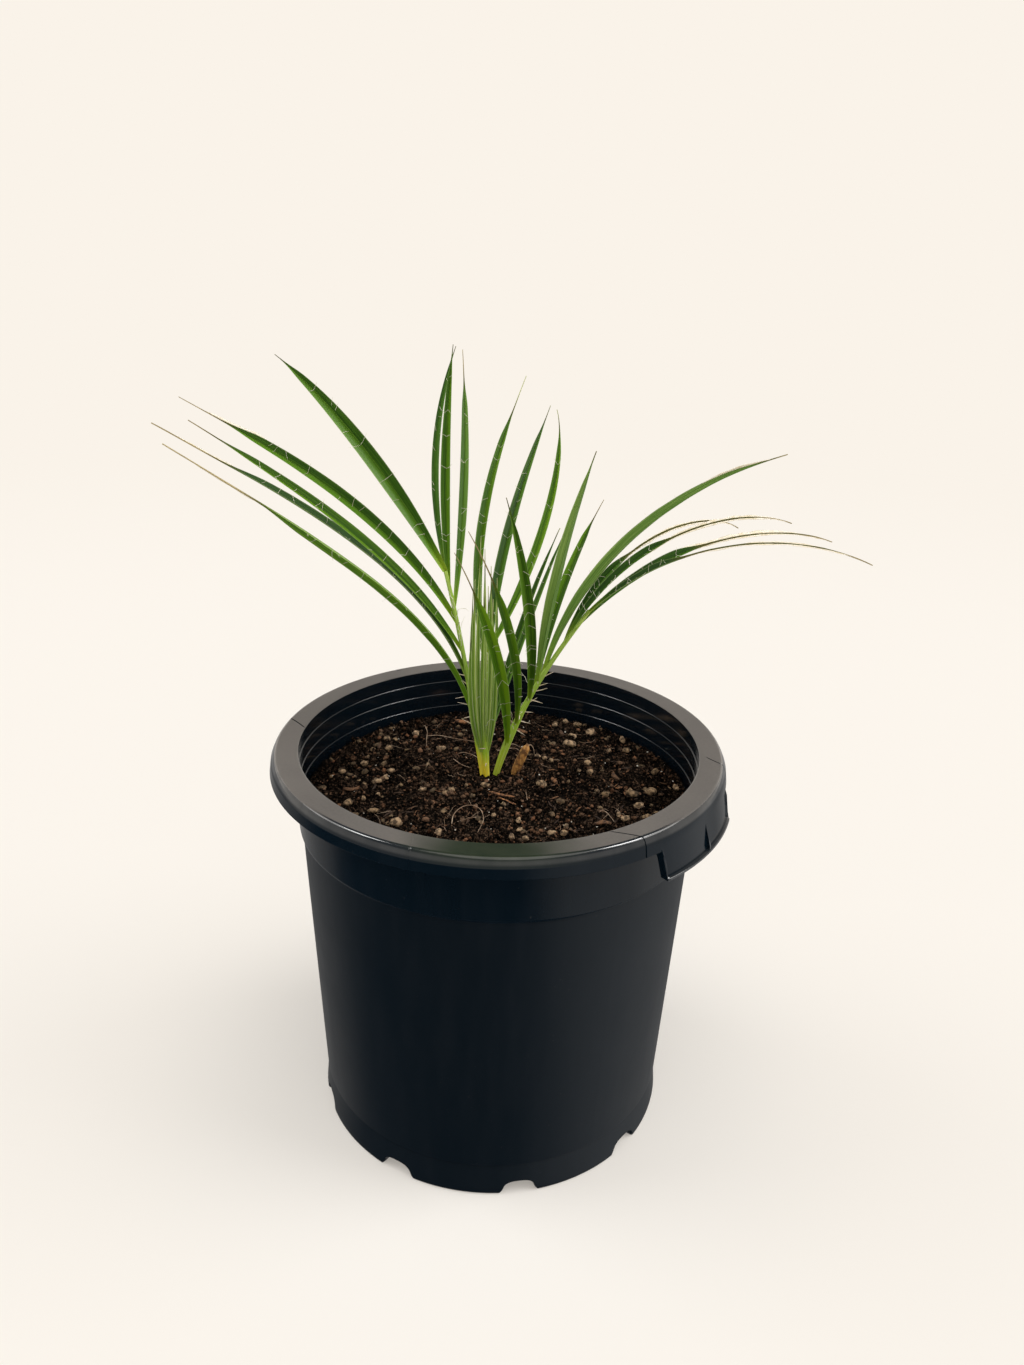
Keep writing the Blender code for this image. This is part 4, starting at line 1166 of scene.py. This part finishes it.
def growSpines(finish):
    rng = random.Random(9)
    heap = Heap()
    for name in stalks:
        for share, heading, rise in spines[name]:
            base = stalkPoint(name, share)
            direction = polar(math.cos(math.radians(rise)), heading, math.sin(math.radians(rise)))
            length = spines["length"] * rng.uniform(0.8, 1.1)
            sag = Vector((rng.uniform(-0.1, 0.1), rng.uniform(-0.1, 0.1), rng.uniform(-0.12, 0.12)))
            path = [base + direction * (length * t) + sag * (length * t * t) for t in (0.0, 0.25, 0.5, 0.75, 1.0)]
            heap.thread(path, spines["radius"], 0.00008, 8)
    settle(heap.build("stalkSpines", finish), "young_green")


growSpines(spineFinish())

# Pale bristles that cross the leaflets, and dry threads at their ends
bristles = dict(spacing=0.0150, radius=0.00011, lift=0.00030, seed=17)


def bristleFinish():
    f = Finish("paleBristle", Roughness=0.55)
    f.feed("Base Color", f.blend(f.grain(0.004, 2.0).ramp(0.4, 0.7), (0.86, 0.84, 0.70), (0.60, 0.58, 0.40)))
    f.bump(f.grain(0.0005), 0.00004, 0.5)
    return f


def growBristles(finish):
    rng = random.Random(bristles["seed"])
    heap = Heap()
    for name in stalks:
        for shape in allShapes(name):
            if shape.get("young"):
                continue
            frames = bladeFrames(name, shape)
            count = max(2, round(shape["length"] / bristles["spacing"]))
            for k in range(count):
                share = 0.12 + (0.90 * shape["rib"] - 0.12) * (k + rng.uniform(0.0, 1.0)) / count
                frame = frames[min(len(frames) - 2, round(share * blade["stations"]))]
                tip = rng.uniform(-0.35, 0.35)
                rise = rng.choice((1.0, 1.0, -1.0)) * rng.uniform(0.0004, 0.0034)
                for side in (-1.0, 1.0):
                    if rng.random() < 0.38:
                        continue
                    reach = side * rng.uniform(0.95, 1.50)
                    arch = rng.uniform(-0.0004, 0.0004)
                    path = []
                    for i in range(6):
                        t = i / 5
                        u = tip + (reach - tip) * t
                        spot = bladePoint(frame, shape, u, bristles["lift"] + 0.0004 * max(0.0, abs(u) - 1.0))
                        path.append(spot + frame[2] * (rise * t + arch * (1.0 - (2 * t - 1) ** 2)))
                    heap.thread(path, bristles["radius"], bristles["radius"] * 0.6, 5)
    for name, count, low, high in curls["starts"]:
        for k in range(count):
            point = stalkPoint(name, rng.uniform(low, high)) + polar(0.0012, -57.0)
            heading, rise = rng.uniform(150.0, 330.0), rng.uniform(55.0, 100.0)
            path = [point]
            for i in range(curls["steps"]):
                turn = math.radians(rise)
                point = point + polar(math.cos(turn), heading, math.sin(turn)) * curls["step"]
                path.append(point)
                heading += rng.uniform(-70.0, 70.0)
                rise += rng.uniform(-45.0, 40.0)
            heap.thread(curved(path, 3), curls["radius"], curls["radius"] * 0.5, 5)
    settle(heap.build("leafBristles", finish), "young_green")


growBristles(bristleFinish())

# Papery skin that peels from the edges of the drying leaflets: which leaflet, the shares between which it
# peels, which edge and how wide
fringes = dict(
    thickness=0.00008,
    strips=[
        ("frondRight", 6, 0.42, 0.98, 1, 0.0011), ("frondRight", 6, 0.50, 0.90, -1, 0.0009),
        ("frondRight", 7, 0.45, 0.99, 1, 0.0012), ("frondRight", 7, 0.48, 0.96, -1, 0.0014),
        ("frondRight", 8, 0.50, 0.99, 1, 0.0012), ("frondRight", 8, 0.42, 0.90, -1, 0.0022),
        ("frondRight", 9, 0.40, 0.95, 1, 0.0012), ("frondRight", 9, 0.55, 0.85, -1, 0.0010),
        ("frondRight", 5, 0.74, 0.97, 1, 0.0016), ("frondLeft", 1, 0.70, 0.92, 1, 0.0016),
        ("frondLeft", 4, 0.74, 0.96, -1, 0.0012), ("frondLeft", 3, 0.78, 0.94, 1, 0.0012),
    ],
)


def fringeFinish():
    f = Finish("paperySkin", Roughness=0.70)
    f.feed("Base Color", f.blend(f.grain(0.003, 3.0).ramp(0.40, 0.65), (0.90, 0.84, 0.72), (0.78, 0.70, 0.52)))
    f.bump(f.grain(0.0010, 2.0), 0.00006, 0.5)
    return f


def peelFringes(finish):
    heap = Heap()
    for number, (name, index, low, high, side, width) in enumerate(fringes["strips"]):
        shape = allShapes(name)[index]
        rings = []
        frames = [frame for frame in bladeFrames(name, shape) if low <= frame[0] <= high]
        for i, frame in enumerate(frames):
            t = i / (len(frames) - 1)
            ragged = 0.55 + 0.9 * abs(noise.noise(Vector((t * 7.0, number * 2.3, 4.0))))
            reach = frame[3] * (side * (0.00012 + width * math.sin(math.pi * t) ** 0.7 * ragged))
            wave = frame[4] * (0.0006 * noise.noise(Vector((t * 6.0, number * 1.7, 8.0))))
            inner = bladePoint(frame, shape, side * 0.9)
            lift = frame[4] * (fringes["thickness"] / 2)
            outer = inner + reach + wave
            rings.append([inner - lift, outer - lift, outer + lift, inner + lift])
        heap.loft(rings)
    settle(heap.build("paperFringes", finish), "dry_sheath")


peelFringes(fringeFinish())

# Dry old sheath: a curled strip that leans out of the mix
sheath = dict(
    root=(0.0012, 0.0155), heading=33, elevation=70, length=0.0192, depth=0.007, radius=0.0029, thickness=0.0008,
    backTurn=-112,
)


def sheathFinish():
    f = Finish("drySheath", Specular_IOR_Level=0.35)
    stripe = f.grain(0.0016, 3.0, 0.6, (1.0, 1.0, 0.22))
    stain = f.grain(0.0034, 3.0, 0.6)
    husk = f.blend(stripe.ramp(0.35, 0.65), (0.60, 0.310, 0.085), (0.300, 0.135, 0.036))
    husk = f.blend(stain.ramp(0.46, 0.60) * 0.85, husk, (0.095, 0.040, 0.016))
    f.feed("Base Color", husk)
    f.feed("Roughness", 0.45 + 0.35 * stripe)
    f.bump(stripe, 0.0002, 0.9)
    return f


def makeSheath(finish):
    start = Vector((*sheath["root"], soilLine))
    lean = polar(math.cos(math.radians(sheath["elevation"])), sheath["heading"], math.sin(math.radians(sheath["elevation"])))
    heap = Heap()
    rings = []
    steps = 18
    for i in range(-4, steps + 1):
        t = max(0.0, i / steps)
        centre = start + lean * (sheath["length"] * t)
        if i < 0:
            centre = start + Vector((0.0, 0.0, sheath["depth"] * i / 4))
        scale = 0.84 + 0.13 * math.sin(math.pi * min(1.0, t * 1.1))
        if t > 0.82:
            scale *= max(0.22, 1.0 - ((t - 0.82) / 0.18) ** 2.2)
        ragged = 1.0 + 0.10 * noise.noise(Vector((t * 9.0, 2.0, 0.0)))
        ring = []
        spread = 118.0 * ragged
        for radius, angles in (
            (sheath["radius"] * scale, [spread * (k / 8 - 1) for k in range(17)]),
            (sheath["radius"] * scale - sheath["thickness"], [spread * (1 - k / 8) for k in range(17)]),
        ):
            ring += [centre + polar(max(0.0002, radius), sheath["heading"] + sheath["backTurn"] + angle) for angle in angles]
        rings.append(ring)
    heap.loft(rings)
    settle(heap.build("drySheath", finish, 60), "dry_sheath", "dead_sheath")


makeSheath(sheathFinish())
print("plant finished")

# Floor, light and camera. Headings of the lights are turned from the camera's own, seen from above.
backdrop = (0.956, 0.896, 0.816)
floor = dict(radius=9.0, glow=0.30, glowOut=0.38, near=0.11, far=0.27, fadeFrom=0.8, fadeTo=2.2, colour=(0.800, 0.798, 0.790))
camera = dict(azimuth=32.7, elevation=22.4523, roll=1.701, distance=0.5982, aim=(0.0061, 0.0, 0.2642), lens=28.79)


def makeFloor():
    f = Finish("paleFloor", Roughness=0.95, Specular_IOR_Level=0.0)
    tint = f.grain(0.10, 2.0)
    f.feed("Base Color", f.blend(tint, floor["colour"], tuple(c * 0.992 for c in floor["colour"])))
    # Far out the floor turns into the colour of the backdrop, so no edge shows
    away = f.add("ShaderNodeVectorMath", dict(operation="LENGTH"), {0: f.place()}, out=1)
    glow = f.add("ShaderNodeEmission", {}, {"Color": (*backdrop, 1.0)})
    # Painted light: the floor glows in the backdrop's colour, little next to the pot and more from a short way out,
    # which fills in its shadows there
    share = floor["glow"] + floor["glowOut"] * away.ramp(floor["near"], floor["far"])
    share = share + (1.0 - floor["glow"] - floor["glowOut"]) * away.ramp(floor["fadeFrom"], floor["fadeTo"])
    sockets = {0: share, 1: Wire(f, f.shader.outputs[0]), 2: glow}
    mixed = f.add("ShaderNodeMixShader", {}, sockets)
    f.tree.links.new(mixed.socket, f.tree.nodes["Material Output"].inputs[0])
    steps = 96
    radii = (0.2, 0.5, 1.0, 2.0, 4.0, floor["radius"])
    points = [Vector((0.0, 0.0, 0.0))] + [polar(r, 360.0 * i / steps) for r in radii for i in range(steps)]
    faces = [(0, 1 + i, 1 + (i + 1) % steps) for i in range(steps)]
    for row in range(len(radii) - 1):
        for i in range(steps):
            j = (i + 1) % steps
            a, b = 1 + row * steps, 1 + (row + 1) * steps
            faces.append((a + i, b + i, b + j, a + j))
    sheet = makeObject("paleFloor", points, faces, f)
    sheet.location.z = -0.0001
    sheet.visible_glossy = False


makeFloor()

lights = [
    dict(name="softRight", azimuth=88, elevation=43, spread=36, power=1.55, colour=(1.0, 0.97, 0.93)),
    dict(name="softLeft", azimuth=-97, elevation=43, spread=36, power=1.10, colour=(1.0, 0.97, 0.93)),
    dict(name="softTop", azimuth=12, elevation=64, spread=60, power=1.15, colour=(1.0, 0.955, 0.90)),
]
# Lamps that only show as highlights
glints = [
    dict(name="glintRight", azimuth=84, elevation=50, spread=16, power=1.3, colour=(1.0, 1.0, 1.0)),
    dict(name="glintLeft", azimuth=-88, elevation=50, spread=16, power=0.9, colour=(1.0, 1.0, 1.0)),
]
# What the room shows to reflections: the backdrop's band at the horizon, a dimmer ceiling, and a dark
# floor side with one pale panel
room = dict(
    ceiling=(0.27, 0.255, 0.235), low=(0.020, 0.036, 0.060), panel=(0.80, 0.78, 0.76), panelAzimuth=70,
    backAzimuth=178, back=(0.34, 0.33, 0.32),
)


def viewTurn(azimuth, elevation, roll=0.0):
    turn = Matrix.Rotation(math.radians(azimuth), 3, "Z")
    tilt = Matrix.Rotation(math.radians(90.0 - elevation), 3, "X")
    return turn @ tilt @ Matrix.Rotation(math.radians(roll), 3, "Z")


for light in lights + glints:
    lamp = bpy.data.lights.new(light["name"], "SUN")
    lamp.angle = math.radians(light["spread"])
    lamp.energy = light["power"]
    lamp.color = light["colour"]
    lampObject = bpy.data.objects.new(light["name"], lamp)
    turn = viewTurn(camera["azimuth"] + light["azimuth"], light["elevation"])
    lampObject.matrix_world = Matrix.Translation(turn.col[2] * 2.0) @ turn.to_4x4()
    lampObject.visible_diffuse = light not in glints
    bpy.context.scene.collection.objects.link(lampObject)


# The way that the camera's heading plus a turn points, on the level
def levelWay(azimuth):
    return polar(1.0, camera["azimuth"] + azimuth - 90.0)


def lightRoom():
    world = bpy.data.worlds.new("paleStudio")
    world.use_nodes = True
    bpy.context.scene.world = world
    w = Wiring(world.node_tree)
    way = w.add("ShaderNodeTexCoord", {}, {})
    height = w.part(way, 2)

    def toward(azimuth):
        sockets = {0: way, 1: tuple(levelWay(azimuth))}
        return w.add("ShaderNodeVectorMath", dict(operation="DOT_PRODUCT"), sockets, out=1)

    low = w.blend(toward(room["backAzimuth"]).ramp(-0.05, 0.35), room["low"], room["back"])
    low = w.blend(toward(room["panelAzimuth"]).ramp(0.46, 0.78), low, room["panel"])
    high = w.blend(height.ramp(0.30, 0.50), backdrop, room["ceiling"])
    light = w.blend(height.ramp(-0.16, -0.07), low, high)
    w.tree.links.new(light.socket, w.tree.nodes["Background"].inputs["Color"])


lightRoom()
aim = Matrix.Rotation(math.radians(camera["azimuth"]), 3, "Z") @ Vector(camera["aim"])
bpy.context.scene.view_settings.view_transform = "Standard"

eye = bpy.data.cameras.new("photoAngle")
eye.lens = camera["lens"]
eye.sensor_width = 36.0
eye.clip_start = 0.01
eyeObject = bpy.data.objects.new("photoAngle", eye)
turn = viewTurn(camera["azimuth"], camera["elevation"], camera["roll"])
eyeObject.matrix_world = Matrix.Translation(aim + turn.col[2] * camera["distance"]) @ turn.to_4x4()
bpy.context.scene.collection.objects.link(eyeObject)
bpy.context.scene.camera = eyeObject
print("camera at", [round(c, 4) for c in eyeObject.location])
